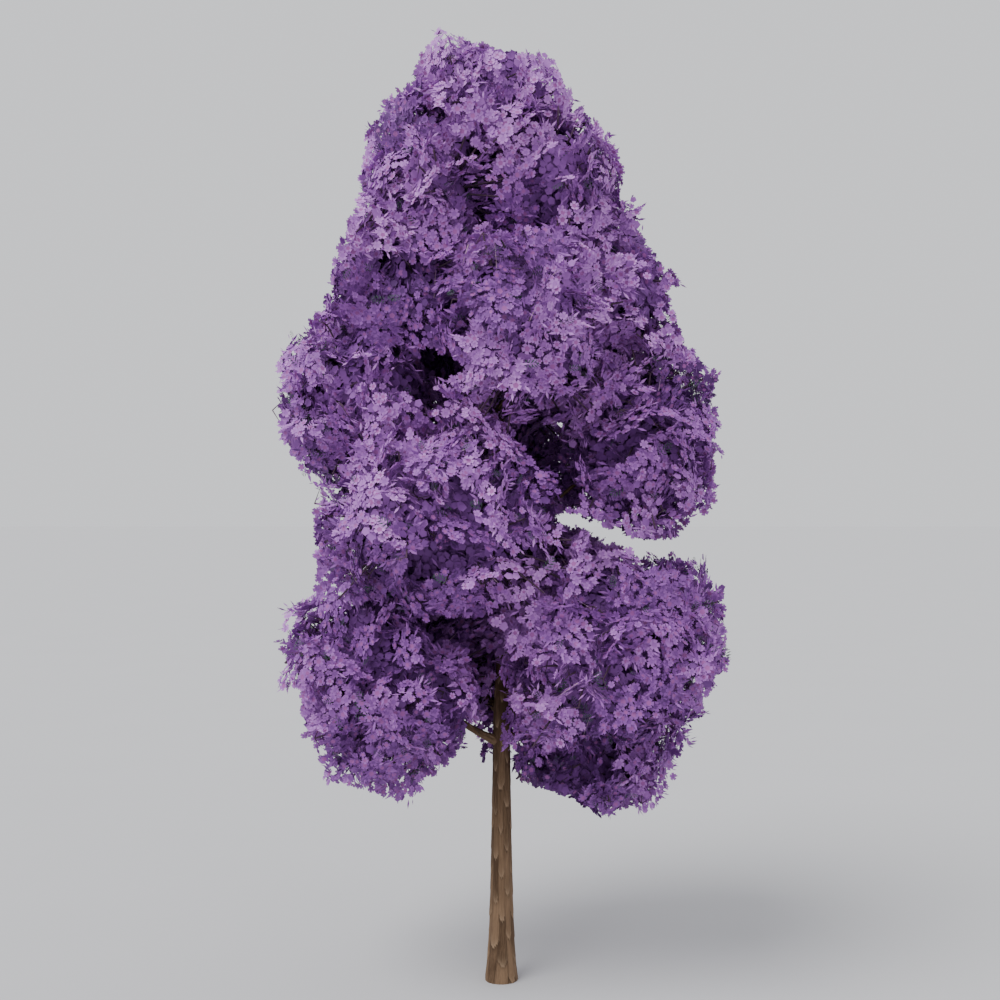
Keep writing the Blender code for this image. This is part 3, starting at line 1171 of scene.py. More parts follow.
class Batch:
    """Copies of small shapes, joined mass by mass into pieces of a limited size."""

    def __init__(self, kind: str, finishes: Sequence[PlainFinish], slot: str) -> None:
        """Starts an empty batch.

        Args:
            kind: the word that its pieces' names start with.
            finishes: the finishes that copies may take, by number.
            slot: the name of a material slot, which is kept but not used.
        """
        self.kind = kind
        self.finishes = [finish.material() for finish in finishes]
        self.slot = slot
        self.pieces = 0
        self.total = 0
        self._start()

    def _start(self) -> None:
        """Starts an empty piece."""
        self.corners: list[np.ndarray] = []
        self.faces: list[np.ndarray] = []
        self.numbers: list[np.ndarray] = []
        self.nodes: list[str] = []
        self.first = 0
        self.held = 0

    def add(
        self,
        shape: Shape,
        frames: np.ndarray,
        places: np.ndarray,
        finish: np.ndarray,
        inner: np.ndarray | None = None,
    ) -> None:
        """Adds copies of a shape.

        Args:
            shape: the shape.
            frames: for each copy, rows that its own X, Y and Z axes turn to, with its sizes.
            places: where each copy's origin goes.
            finish: the number of each copy's finish.
            inner: the number of its inner faces' finish, where that differs.
        """
        if not len(places):
            return
        corners = np.einsum("vi,nij->nvj", shape.corners, frames) + places[:, None, :]
        base = self.first + np.arange(len(places)) * len(shape.corners)
        faces = shape.faces[None, :, :] + base[:, None, None]
        self.corners.append(corners.reshape(-1, 3))
        self.faces.append(faces.reshape(-1, 3))
        middle = finish if inner is None else inner
        self.numbers.append(np.where(shape.inner, middle[:, None], finish[:, None]).ravel())
        self.first += len(places) * len(shape.corners)
        self.held += len(places) * len(shape.faces)

    def room_for(self, triangles: int) -> None:
        """Closes the piece that is being made if it has no room for more triangles."""
        if self.held and self.held + triangles > MOST_TRIANGLES:
            self.close()

    def close(self) -> None:
        """Makes a piece of what has been added."""
        if not self.held:
            return
        self.pieces += 1
        mesh = bpy.data.meshes.new(f"{self.kind}_{self.pieces}")
        corners = np.concatenate(self.corners).astype(np.float32)
        faces = np.concatenate(self.faces).astype(np.int32)
        mesh.vertices.add(len(corners))
        mesh.vertices.foreach_set("co", corners.ravel())
        mesh.loops.add(faces.size)
        mesh.loops.foreach_set("vertex_index", faces.ravel())
        mesh.polygons.add(len(faces))
        mesh.polygons.foreach_set("loop_start", np.arange(0, faces.size, 3, dtype=np.int32))
        mesh.polygons.foreach_set("material_index", np.concatenate(self.numbers).astype(np.int32))
        for finish in self.finishes:
            mesh.materials.append(finish)
        mesh.update(calc_edges=True)
        mesh.shade_smooth()
        made = bpy.data.objects.new(mesh.name, mesh)
        bpy.context.scene.collection.objects.link(made)
        finish_piece(made, self.nodes)
        self.total += self.held
        self._start()


# Ways and frames


def even_ways(count: int, spin: float) -> np.ndarray:
    """Spreads unit rows evenly all round.

    Args:
        count: how many.
        spin: how far they are turned about +Z.

    Returns:
        The rows.
    """
    index = np.arange(count)
    up = 1.0 - 2.0 * index / (count - 1)
    flat = np.sqrt(np.maximum(0.0, 1.0 - up * up))
    turn = GOLDEN * index + spin
    return np.stack([flat * np.cos(turn), flat * np.sin(turn), up], axis=-1)


def nearest_of(points: np.ndarray, others: np.ndarray) -> np.ndarray:
    """Finds the nearest of the others to each point."""
    return others[np.argmin(np.linalg.norm(points[:, None] - others[None], axis=2), axis=1)]


def frames_facing(normals: np.ndarray, turns: np.ndarray) -> np.ndarray:
    """Makes frames whose Z axes are these normals.

    Args:
        normals: unit rows.
        turns: how far each frame is turned about its own Z axis.

    Returns:
        For each, three rows: its X, Y and Z axes.
    """
    helper = np.where(np.abs(normals[:, 2:3]) < STEEP, [[0.0, 0.0, 1.0]], [[1.0, 0.0, 0.0]])
    first = unit(np.cross(helper, normals))
    second = np.cross(normals, first)
    cos, sin = np.cos(turns)[:, None], np.sin(turns)[:, None]
    return np.stack([first * cos + second * sin, second * cos - first * sin, normals], axis=1)


def frames_along(normals: np.ndarray, ways: np.ndarray) -> np.ndarray:
    """Makes frames whose Z axes are these normals and whose X axes lean as far as they can to these ways."""
    first = unit(ways - normals * np.sum(ways * normals, axis=1, keepdims=True) + NUDGE)
    return np.stack([first, np.cross(normals, first), normals], axis=1)


def frames_leading(ways: np.ndarray, ups: np.ndarray, lengths: np.ndarray) -> np.ndarray:
    """Makes frames whose X axes are these ways and whose Z axes lean as far as they can to these ups.

    Args:
        ways: unit rows.
        ups: rows.
        lengths: the size of each frame.

    Returns:
        For each, three rows: its X, Y and Z axes, with its size.
    """
    normals = unit(np.cross(ways, np.cross(ups, ways)))
    return np.stack([ways, np.cross(normals, ways), normals], axis=1) * lengths[:, None, None]


# What is placed by how it shows from in front


EYE = np.array([-0.019, -17.67, 6.094])
FRONT = 1.0


def seen(points: np.ndarray) -> np.ndarray:
    """Where points show from in front, as X and Z in the plane of the trunk."""
    scale = -EYE[1] / (points[:, 1] - EYE[1])
    return (points[:, [0, 2]] - EYE[[0, 2]]) * scale[:, None] + EYE[[0, 2]]


@dataclass(frozen=True)
class Window:
    """A gap between masses, seen from in front, between two points.

    Its points are X and Z in the plane of the trunk, and it widens and drifts with depth as sight lines do.
    It is open to the sky, or a hollow where its blossom starts further back.
    """

    start: tuple[float, float]
    end: tuple[float, float]
    half: float
    back: float = math.inf
    ripple: float = 0.035
    ripple_rates: tuple[float, float] = (23.0, 19.0)

    def hides(self, points: np.ndarray) -> np.ndarray:
        """True for each point that would show in the gap.

        Args:
            points: rows of X, Y and Z.

        Returns:
            A truth value for each point.
        """
        a, b = np.array(self.start), np.array(self.end)
        span, away = b - a, seen(points) - a
        share = np.clip(away @ span / (span @ span), 0, 1)
        x_rate, z_rate = self.ripple_rates
        ripple = self.ripple * np.sin(x_rate * points[:, 0]) * np.sin(z_rate * points[:, 2])
        near = np.linalg.norm(away - share[:, None] * span, axis=1) < self.half + ripple
        return near & (points[:, 1] < self.back)


@dataclass(frozen=True)
class PaintedLight:
    """A part of the crown's front whose sprays are paler, as painted light, or deeper, as painted shade,
    where its change is below 0.
    """

    place: tuple[float, float]
    reach: float
    change: float

    def at(self, points: np.ndarray) -> np.ndarray:
        """How much paler the sprays at these points are painted, with painted shade below 0.

        Args:
            points: rows of X, Y and Z.

        Returns:
            A change of score for each point.
        """
        off = np.linalg.norm(seen(points) - self.place, axis=1) / self.reach
        return self.change * np.exp(-(off**2)) * (points[:, 1] < FRONT)


# Patches of painted light on the crown's front, with changes above 0, and of painted shade, below 0.
PAINTED_LIGHTS = {
    "tip": PaintedLight((-0.6, 11.6), 0.5, 0.7),
    "crest": PaintedLight((0.0, 11.2), 0.9, 0.8),
    "right_brow": PaintedLight((1.2, 10.6), 0.5, 0.9),
    "left_brow": PaintedLight((-1.3, 10.7), 0.4, -1.5),
    "nape": PaintedLight((-0.7, 10.7), 0.4, 0.8),
    "nape_fold": PaintedLight((0.0, 10.3), 0.3, -1.1),
    "crest_fold": PaintedLight((-0.2, 11.0), 0.3, -0.9),
    "left_cheek": PaintedLight((-1.5, 9.9), 0.6, 1.4),
    "right_cheek": PaintedLight((1.3, 9.8), 0.4, 0.6),
    "neck": PaintedLight((-0.6, 9.8), 0.4, 0.8),
    "neck_side": PaintedLight((0.5, 9.5), 0.4, -0.8),
    "left_shoulder": PaintedLight((-1.1, 8.9), 0.6, -1.0),
    "right_fold": PaintedLight((1.6, 9.2), 0.4, -1.6),
    "right_shoulder": PaintedLight((1.2, 8.6), 0.7, 1.5),
    "right_shoulder_rim": PaintedLight((1.9, 8.3), 0.4, 0.7),
    "left_hollow": PaintedLight((-0.8, 7.8), 0.3, -0.8),
    "breast": PaintedLight((0.1, 8.8), 0.4, -1.1),
    "heart": PaintedLight((-0.1, 7.5), 0.5, 0.9),
    "heart_fold": PaintedLight((1.2, 7.9), 0.4, -0.9),
    "left_arm": PaintedLight((-2.0, 7.5), 0.5, 0.6),
    "right_arm_root": PaintedLight((1.0, 7.2), 0.4, 1.0),
    "right_arm": PaintedLight((1.6, 7.2), 0.5, 0.7),
    "right_arm_rim": PaintedLight((2.3, 7.5), 0.5, -1.2),
    "left_arm_foot": PaintedLight((-2.1, 6.5), 0.3, -0.7),
    "right_arm_foot": PaintedLight((2.1, 6.1), 0.5, 0.7),
    "belt": PaintedLight((-0.9, 6.6), 0.4, -1.5),
    "right_hollow": PaintedLight((0.6, 6.5), 0.5, -1.4),
    "apron_brow": PaintedLight((-1.0, 7.0), 0.3, 0.8),
    "apron": PaintedLight((-1.0, 6.15), 0.6, 1.6),
    "apron_side": PaintedLight((0.3, 6.0), 0.4, 0.6),
    "apron_foot": PaintedLight((-0.7, 5.45), 0.5, -1.6),
    "apron_hem": PaintedLight((0.2, 4.95), 0.4, 1.1),
    "skirt_fold": PaintedLight((0.9, 4.8), 0.4, -0.8),
    "waist": PaintedLight((1.3, 5.4), 0.4, 0.9),
    "left_skirt_brow": PaintedLight((-1.1, 4.9), 0.3, 0.7),
    "left_skirt_rim": PaintedLight((-2.1, 4.7), 0.3, -0.5),
    "left_skirt": PaintedLight((-1.3, 4.3), 0.6, -0.9),
    "left_hem": PaintedLight((-1.8, 2.7), 0.3, -0.5),
    "right_skirt_rim": PaintedLight((1.9, 5.0), 0.4, -0.8),
    "right_skirt": PaintedLight((0.7, 3.65), 0.6, 1.8),
    "right_skirt_foot": PaintedLight((1.7, 3.5), 0.4, -0.8),
    "right_hem": PaintedLight((0.5, 2.7), 0.6, -1.8),
    "right_hem_side": PaintedLight((1.2, 2.9), 0.5, -1.2),
    "right_hem_tip": PaintedLight((1.7, 2.5), 0.4, 0.7),
    "right_tip": PaintedLight((2.6, 4.9), 0.3, -0.7),
}


def painted_light_at(points: np.ndarray) -> np.ndarray:
    """How much paler the sprays at these points are painted, from every patch of painted light and shade."""
    return sum(painted_light.at(points) for painted_light in PAINTED_LIGHTS.values())


@dataclass(frozen=True)
class Tuft:
    """A spray that stands out from the rim of a mass: where its tip is, and how many lie there."""

    mass: str
    tip: tuple[float, float, float]
    count: int = 3
    spread: float = 0.12


TUFTS = (
    Tuft("top", (0.62, -0.2, 11.48)),
    Tuft("upper_left", (-0.45, -1.10, 10.35), 7, 0.25),
    Tuft("upper_left", (-1.05, -1.15, 9.75), 6, 0.25),
    Tuft("upper_left", (0.05, -1.15, 10.05), 4, 0.25),
    Tuft("upper_left", (-1.50, -0.95, 9.50), 5, 0.20),
    Tuft("shoulder_right", (0.95, -1.15, 8.75), 5, 0.20),
    Tuft("shoulder_front", (-0.10, -1.80, 7.50), 3, 0.20),
    Tuft("lower_right", (0.60, -1.35, 3.55), 5, 0.20),
    Tuft("upper_right", (1.32, -0.1, 10.58), 2),
    Tuft("middle_right", (2.42, -0.2, 6.06), 4),
    Tuft("middle_back", (0.45, 0.60, 6.75), 8, 0.22),
    Tuft("middle_back", (0.85, 0.60, 6.35), 8, 0.22),
    Tuft("middle_back", (0.62, 1.50, 6.92), 9, 0.18),
    Tuft("middle_back", (0.88, 1.40, 6.08), 6, 0.15),
    Tuft("shoulder_back", (0.55, 1.40, 7.08), 8, 0.18),
    Tuft("middle_front", (-2.12, -0.7, 5.85), 6, 0.16),
    Tuft("middle_front", (-2.14, -0.6, 5.30), 6, 0.16),
    Tuft("lower_left", (-2.38, -0.4, 4.78), 6),
    Tuft("lower_left", (-2.52, -0.4, 4.45), 5),
    Tuft("lower_left", (-2.14, -0.4, 2.82), 6, 0.15),
    Tuft("lower_right", (1.62, -0.3, 5.36)),
    Tuft("lower_right", (2.34, -0.5, 5.22), 4),
    Tuft("lower_right", (2.58, -0.7, 4.90), 5),
    Tuft("lower_right", (2.60, -0.7, 4.45), 5),
    Tuft("lower_right", (2.50, -1.25, 4.80), 5, 0.15),
    Tuft("lower_right", (2.38, -1.20, 4.50), 6, 0.15),
    Tuft("lower_right", (2.14, -0.60, 3.42), 4, 0.10),
    Tuft("lower_back_left", (-0.16, 0.50, 3.05), 4, 0.08),
    Tuft("bottom_right", (2.12, 0.0, 3.10), 8, 0.14),
    Tuft("bottom_right", (1.98, 0.2, 2.64), 5, 0.15),
)


WINDOWS = (
    Window((0.78, 5.88), (1.25, 5.72), 0.10),
    Window((1.25, 5.72), (1.76, 5.50), 0.09),
    Window((1.76, 5.50), (2.85, 5.52), 0.11),
    Window((2.36, 5.60), (2.86, 6.00), 0.12),
    Window((-2.30, 2.40), (-1.75, 2.30), 0.14),
    Window((-2.70, 8.36), (-2.40, 8.58), 0.12),
    Window((-2.50, 5.16), (-2.44, 5.02), 0.12),
    Window((-0.43, 3.20), (-0.37, 2.85), 0.08),
    Window((-0.86, 2.48), (-0.50, 2.78), 0.11),
    Window((0.34, 2.38), (0.86, 2.20), 0.13),
    Window((0.86, 2.20), (1.12, 2.06), 0.09),
    Window((-1.88, 11.20), (-1.30, 11.47), 0.16),
    Window((-1.22, 11.64), (-1.02, 11.92), 0.14),
    Window((-0.28, 12.05), (0.05, 11.94), 0.17),
    Window((0.05, 11.94), (0.48, 11.92), 0.15),
    Window((0.52, 11.98), (0.84, 11.72), 0.12),
    Window((-0.92, 12.18), (-0.55, 12.14), 0.09),
    Window((0.90, 11.50), (1.38, 10.90), 0.16),
    Window((1.60, 10.92), (1.64, 10.50), 0.09),
    Window((-1.86, 11.02), (-1.92, 10.30), 0.14),
    Window((-1.91, 10.30), (-1.98, 9.75), 0.13),
    Window((-2.06, 9.65), (-2.30, 8.95), 0.12),
    Window((-2.48, 8.62), (-2.22, 8.78), 0.10),
    Window((-2.84, 6.78), (-2.64, 6.46), 0.11),
    Window((1.58, 10.46), (1.68, 10.08), 0.09),
    Window((1.90, 9.46), (2.16, 9.10), 0.11),
    Window((2.20, 8.72), (2.42, 8.10), 0.11),
    Window((2.52, 8.00), (2.62, 7.86), 0.10),
    Window((2.82, 7.75), (2.82, 6.80), 0.08),
    Window((-2.46, 6.10), (-2.42, 5.12), 0.07),
    Window((-2.70, 6.18), (-2.68, 5.26), 0.20),
    Window((-2.66, 3.60), (-2.60, 3.20), 0.10),
    Window((2.80, 3.80), (2.66, 3.48), 0.10),
    Window((-0.92, 7.92), (-0.66, 7.78), 0.14, back=0.1),
    Window((-0.98, 7.40), (-0.84, 7.36), 0.12, back=-0.3),
    Window((0.26, 6.98), (0.52, 6.60), 0.12, back=-0.5),
    Window((0.80, 6.32), (0.92, 6.15), 0.10, back=-0.6),
    Window((-1.05, 5.30), (-0.30, 5.42), 0.14, back=-1.6),
    Window((-0.85, 4.50), (-0.12, 4.40), 0.16, back=-0.45),
    Window((-0.30, 4.15), (-0.14, 3.80), 0.14, back=-0.40),
    Window((-0.15, 4.00), (-0.13, 3.00), 0.14, back=-0.12),
)


def in_windows(points: np.ndarray) -> np.ndarray:
    """True for each point that would show in any window."""
    return np.any([window.hides(points) for window in WINDOWS], axis=0)


def in_box(points: np.ndarray, spare: float = 0.0) -> np.ndarray:
    """True for each point inside the solids' box, clear of its sides by this much."""
    low, high = (np.array(corner) for corner in CAD_BOX)
    return np.all((points > low + spare) & (points < high - spare), axis=1)


# Sprays of blossom


DROOP = 0.22


@dataclass
class Plates:
    """Round flat sprays of blossom, as rows of numbers. A plate's rim droops by DROOP of its radius."""

    middle: np.ndarray
    normal: np.ndarray
    along: np.ndarray
    radius: np.ndarray
    slim: np.ndarray
    tint: np.ndarray

    def kept(self, wanted: np.ndarray) -> "Plates":
        """The plates that are wanted."""
        return Plates(*(rows[wanted] for rows in vars(self).values()))

    def with_more(self, others: "Plates") -> "Plates":
        """These plates and others."""
        pairs = zip(vars(self).values(), vars(others).values())
        return Plates(*(np.concatenate(pair) for pair in pairs))

    def under(
        self, owner: np.ndarray, axes: np.ndarray, out: np.ndarray, below: np.ndarray | float
    ) -> np.ndarray:
        """Places under the drooping tops of plates.

        Args:
            owner: each place's plate.
            axes: a frame for each, whose X axis points to it from the plate's middle.
            out: how far out it lies.
            below: how far it lies below the plate's top.

        Returns:
            The places.
        """
        drop = DROOP * out**2 / self.radius[owner] + below
        return self.middle[owner] + axes[:, 0] * out[:, None] - axes[:, 2] * drop[:, None]


@dataclass(frozen=True)
class Layer:
    """How one layer of a mass's plates lies: its spacing, its depth in the room and its plates' sizes."""

    spacing: float
    nearest: float
    furthest: float
    least_radius: float
    most_radius: float
    lift: float
    scatter: float
    fans: float
    front_share: float


OUTER = Layer(
    spacing=0.37,
    nearest=0.82,
    furthest=0.985,
    least_radius=0.22,
    most_radius=0.42,
    lift=0.25,
    scatter=0.75,
    fans=0.45,
    front_share=0.20,
)
INNER = Layer(
    spacing=0.55,
    nearest=0.55,
    furthest=0.72,
    least_radius=0.34,
    most_radius=0.46,
    lift=0.10,
    scatter=0.25,
    fans=0.0,
    front_share=0.40,
)


@dataclass
class Plot:
    """Where one mass grows: its room among the others, clear of the limbs, with its seeded chance."""

    rooms: list[Room]
    limbs: list[Limb]
    index: int
    overlap: float = 0.10
    clearance: float = 0.05
    fine_clearance: float = 0.02
    room: Room = field(init=False)
    rng: np.random.Generator = field(init=False)

    def __post_init__(self) -> None:
        """Finds the mass's own room, and starts its chance."""
        self.room = self.rooms[self.index]
        self.rng = np.random.default_rng([SEED, self.index])

    def fits(self, points: np.ndarray, spare: float, most: float = 1.0) -> np.ndarray:
        """True for each point that keeps to the room and the box, and clear of limbs and windows.

        Args:
            points: rows of X, Y and Z.
            spare: how far round each point has to be clear.
            most: how near the room's walls they may come, from 0 at its centre to 1.

        Returns:
            A truth value for each point.
        """
        fits = self.room.share(points, self.overlap) <= most
        fits &= in_box(points, spare) & ~in_windows(points)
        for limb in self.limbs:
            fits &= limb.gap(points) > spare
        return fits


@dataclass(frozen=True)
class Sprays:
    """The plates of one mass, laid by the rule of the solids' sprays.

    Layers lie over the room, bridges along the valleys beside it, and tufts stand out of its rim. Plates
    under painted light swell outwards, and those under painted shade sink. A plate's score is higher the
    more it lies
    in the open, faces up, sits high in its room and lies under painted light, and its tint is the paler for
    it:
    the tints are painted light and shade, with some chance.
    """

    plot: Plot
    open_share: float = 0.50
    front_way: float = -0.2
    way_scatter: float = 0.35
    swell: float = 0.14
    sink: float = 0.4
    deepest: float = 0.85
    bridge_spacing: float = 0.36
    bridge_share: float = 1.13
    bridge_swell: float = 0.12
    bridge_search: float = 2.0
    bridge_halvings: int = 12
    bridge_scatter: tuple[float, float] = (-0.08, 0.03)
    narrowest_bridge: float = 0.25
    darkest_bridge: float = -0.35
    bridge_clear: float = 0.90
    tuft_shades: tuple[float, float] = (0.3, 1.0)
    scale_lean: tuple[float, float] = (0.7, 0.4)
    fan_lean: float = 0.35
    fan_slim: tuple[float, float] = (0.5, 0.75)
    scale_slim: tuple[float, float] = (0.72, 1.0)
    fan_hold: float = 0.75
    scale_hold: float = 0.12
    painted_light_weights: tuple[float, float, float] = (0.45, 0.22, 0.25)
    score_chance: tuple[float, float] = (0.10, 0.14)
    tint_steps: tuple[float, ...] = (-1.00, -0.50, -0.02, 0.45, 0.92)

    def layer(self, layer: Layer) -> Plates:
        """Spreads a layer of plates over the room's open sides.

        Args:
            layer: how they lie.

        Returns:
            The plates: most lie like scales, and the rest are fans that point outwards.
        """
        room, rng = self.plot.room, self.plot.rng
        mean = room.half.mean()
        count = round(4 * math.pi * mean**2 / layer.spacing**2)
        ways = even_ways(count, rng.uniform(0, math.tau))
        ways = unit(ways + rng.normal(0, self.way_scatter * layer.spacing / mean, ways.shape))
        least = self.open_share - layer.front_share * (ways[:, 1] < self.front_way)
        ways = ways[room.reach(ways) >= least * room.size(ways)]
        depth = rng.uniform(layer.nearest, layer.furthest, len(ways))
        painted_light = painted_light_at(self._tips(ways, depth))
        swell = self.swell * np.where(painted_light > 0, painted_light, self.sink * painted_light)
        depth = np.clip(depth + swell, self.deepest * layer.nearest, layer.furthest)
        shade = (depth - layer.nearest) / (layer.furthest - layer.nearest)
        return self._laid(self._tips(ways, depth), ways, shade, layer)

    def _tips(self, ways: np.ndarray, depth: np.ndarray) -> np.ndarray:
        """Places between the room's centre and its walls, by shares from 0 to 1."""
        reach = self.plot.room.reach(ways, self.plot.overlap)
        return self.plot.room.centre + ways * (reach * depth)[:, None]

    def _laid(self, tips: np.ndarray, ways: np.ndarray, shade: np.ndarray, layer: Layer) -> Plates:
        """Turns, sizes and tints plates; the tints are painted light and shade, with some chance.

        Args:
            tips: where each reaches furthest out.
            ways: the way out at each.
            shade: how near each is to the open, from 0 to 1.
            layer: how they lie.

        Returns:
            The plates.
        """
        rng, count = self.plot.rng, len(ways)
        fan = rng.random(count) < layer.fans
        outward = unit(tips * np.array([1, 1, 0]))
        chance = rng.normal(0, 1, ways.shape)
        up_share, out_share = self.scale_lean
        scale = up_share * ways + out_share * outward + layer.scatter * chance
        across = unit(np.cross(ways, chance)) + self.fan_lean * ways
        lean = np.where(fan[:, None], across, scale)
        lean[:, 2] += layer.lift
        normal = unit(lean)
        along = np.where(fan[:, None], ways, rng.normal(0, 1, ways.shape))
        radius = rng.uniform(layer.least_radius, layer.most_radius, count)
        slim = np.where(fan, rng.uniform(*self.fan_slim, count), rng.uniform(*self.scale_slim, count))
        middle = tips - ways * (np.where(fan, self.fan_hold, self.scale_hold) * radius)[:, None]
        # Painted light and shade: open, upward and high sprays get paler tints, deep ones and undersides
        # deeper.
        by_shade, by_normal, by_way = self.painted_light_weights
        score = by_shade * shade + by_normal * normal[:, 2] + by_way * ways[:, 2]
        score = score + rng.normal(*self.score_chance, count) + painted_light_at(tips)
        return Plates(middle, normal, along, radius, slim, np.digitize(-score, self.tint_steps))

    def bridges(self) -> Plates:
        """Lays plates along the valleys where the mass's room meets its later neighbours'.

        Returns:
            The plates, clear of every room.
        """
        later = self.plot.rooms[self.plot.index + 1 :]
        none = (np.zeros((0, 3)), np.zeros((0, 3)))
        valleys = [self._valley(wall) for wall in self.plot.room.walls if wall.beyond in later]
        tips, ways = (np.concatenate(rows) for rows in zip(*valleys, none))
        painted_light = painted_light_at(tips)
        tips += ways * (self.bridge_swell * painted_light.clip(0, 1))[:, None]
        clear = painted_light > self.darkest_bridge
        for other in self.plot.rooms:
            clear &= other.open_share_of(tips) > self.bridge_clear
        shade = self.plot.rng.uniform(0, 1, clear.sum())
        return self._laid(tips[clear], ways[clear], shade, OUTER)

    def _valley(self, wall: Wall) -> tuple[np.ndarray, np.ndarray]:
        """Finds places along the valley above a wall, by halving the way out to the open.

        Args:
            wall: the wall between the mass's room and a neighbour's.

        Returns:
            The places, and the way out at each.
        """
        room, rng = self.plot.room, self.plot.rng
        turns = np.arange(0, math.tau, self.bridge_spacing / room.half.mean()) + rng.uniform(0, 1)
        axes = frames_facing(wall.normal[None], np.zeros(1))[0]
        out = np.cos(turns)[:, None] * axes[0] + np.sin(turns)[:, None] * axes[1]
        foot = room.centre + wall.normal * wall.place
        near, far = np.zeros(len(turns)), np.full(len(turns), self.bridge_search)
        for _ in range(self.bridge_halvings):
            middle = (near + far) / 2
            inside = room.open_share_of(foot + out * middle[:, None]) < self.bridge_share
            near = np.where(inside, middle, near)
            far = np.where(inside, far, middle)
        tips = foot + out * (near + rng.uniform(*self.bridge_scatter, len(near)))[:, None]
        wide = near > self.narrowest_bridge
        return tips[wide], out[wide]

    def tufts(self) -> Plates:
        """Lays the plates of the mass's tufts.

        Returns:
            The plates, which stand out past the room.
        """
        room, rng = self.plot.room, self.plot.rng
        tips = [np.zeros((0, 3))]
        for tuft in TUFTS:
            if tuft.mass == room.mass.name:
                tips.append(tuft.tip + rng.normal(0, tuft.spread, (tuft.count, 3)))
        tips = np.concatenate(tips)
        ways = unit(tips - room.centre)
        return self._laid(tips, ways, rng.uniform(*self.tuft_shades, len(tips)), OUTER)


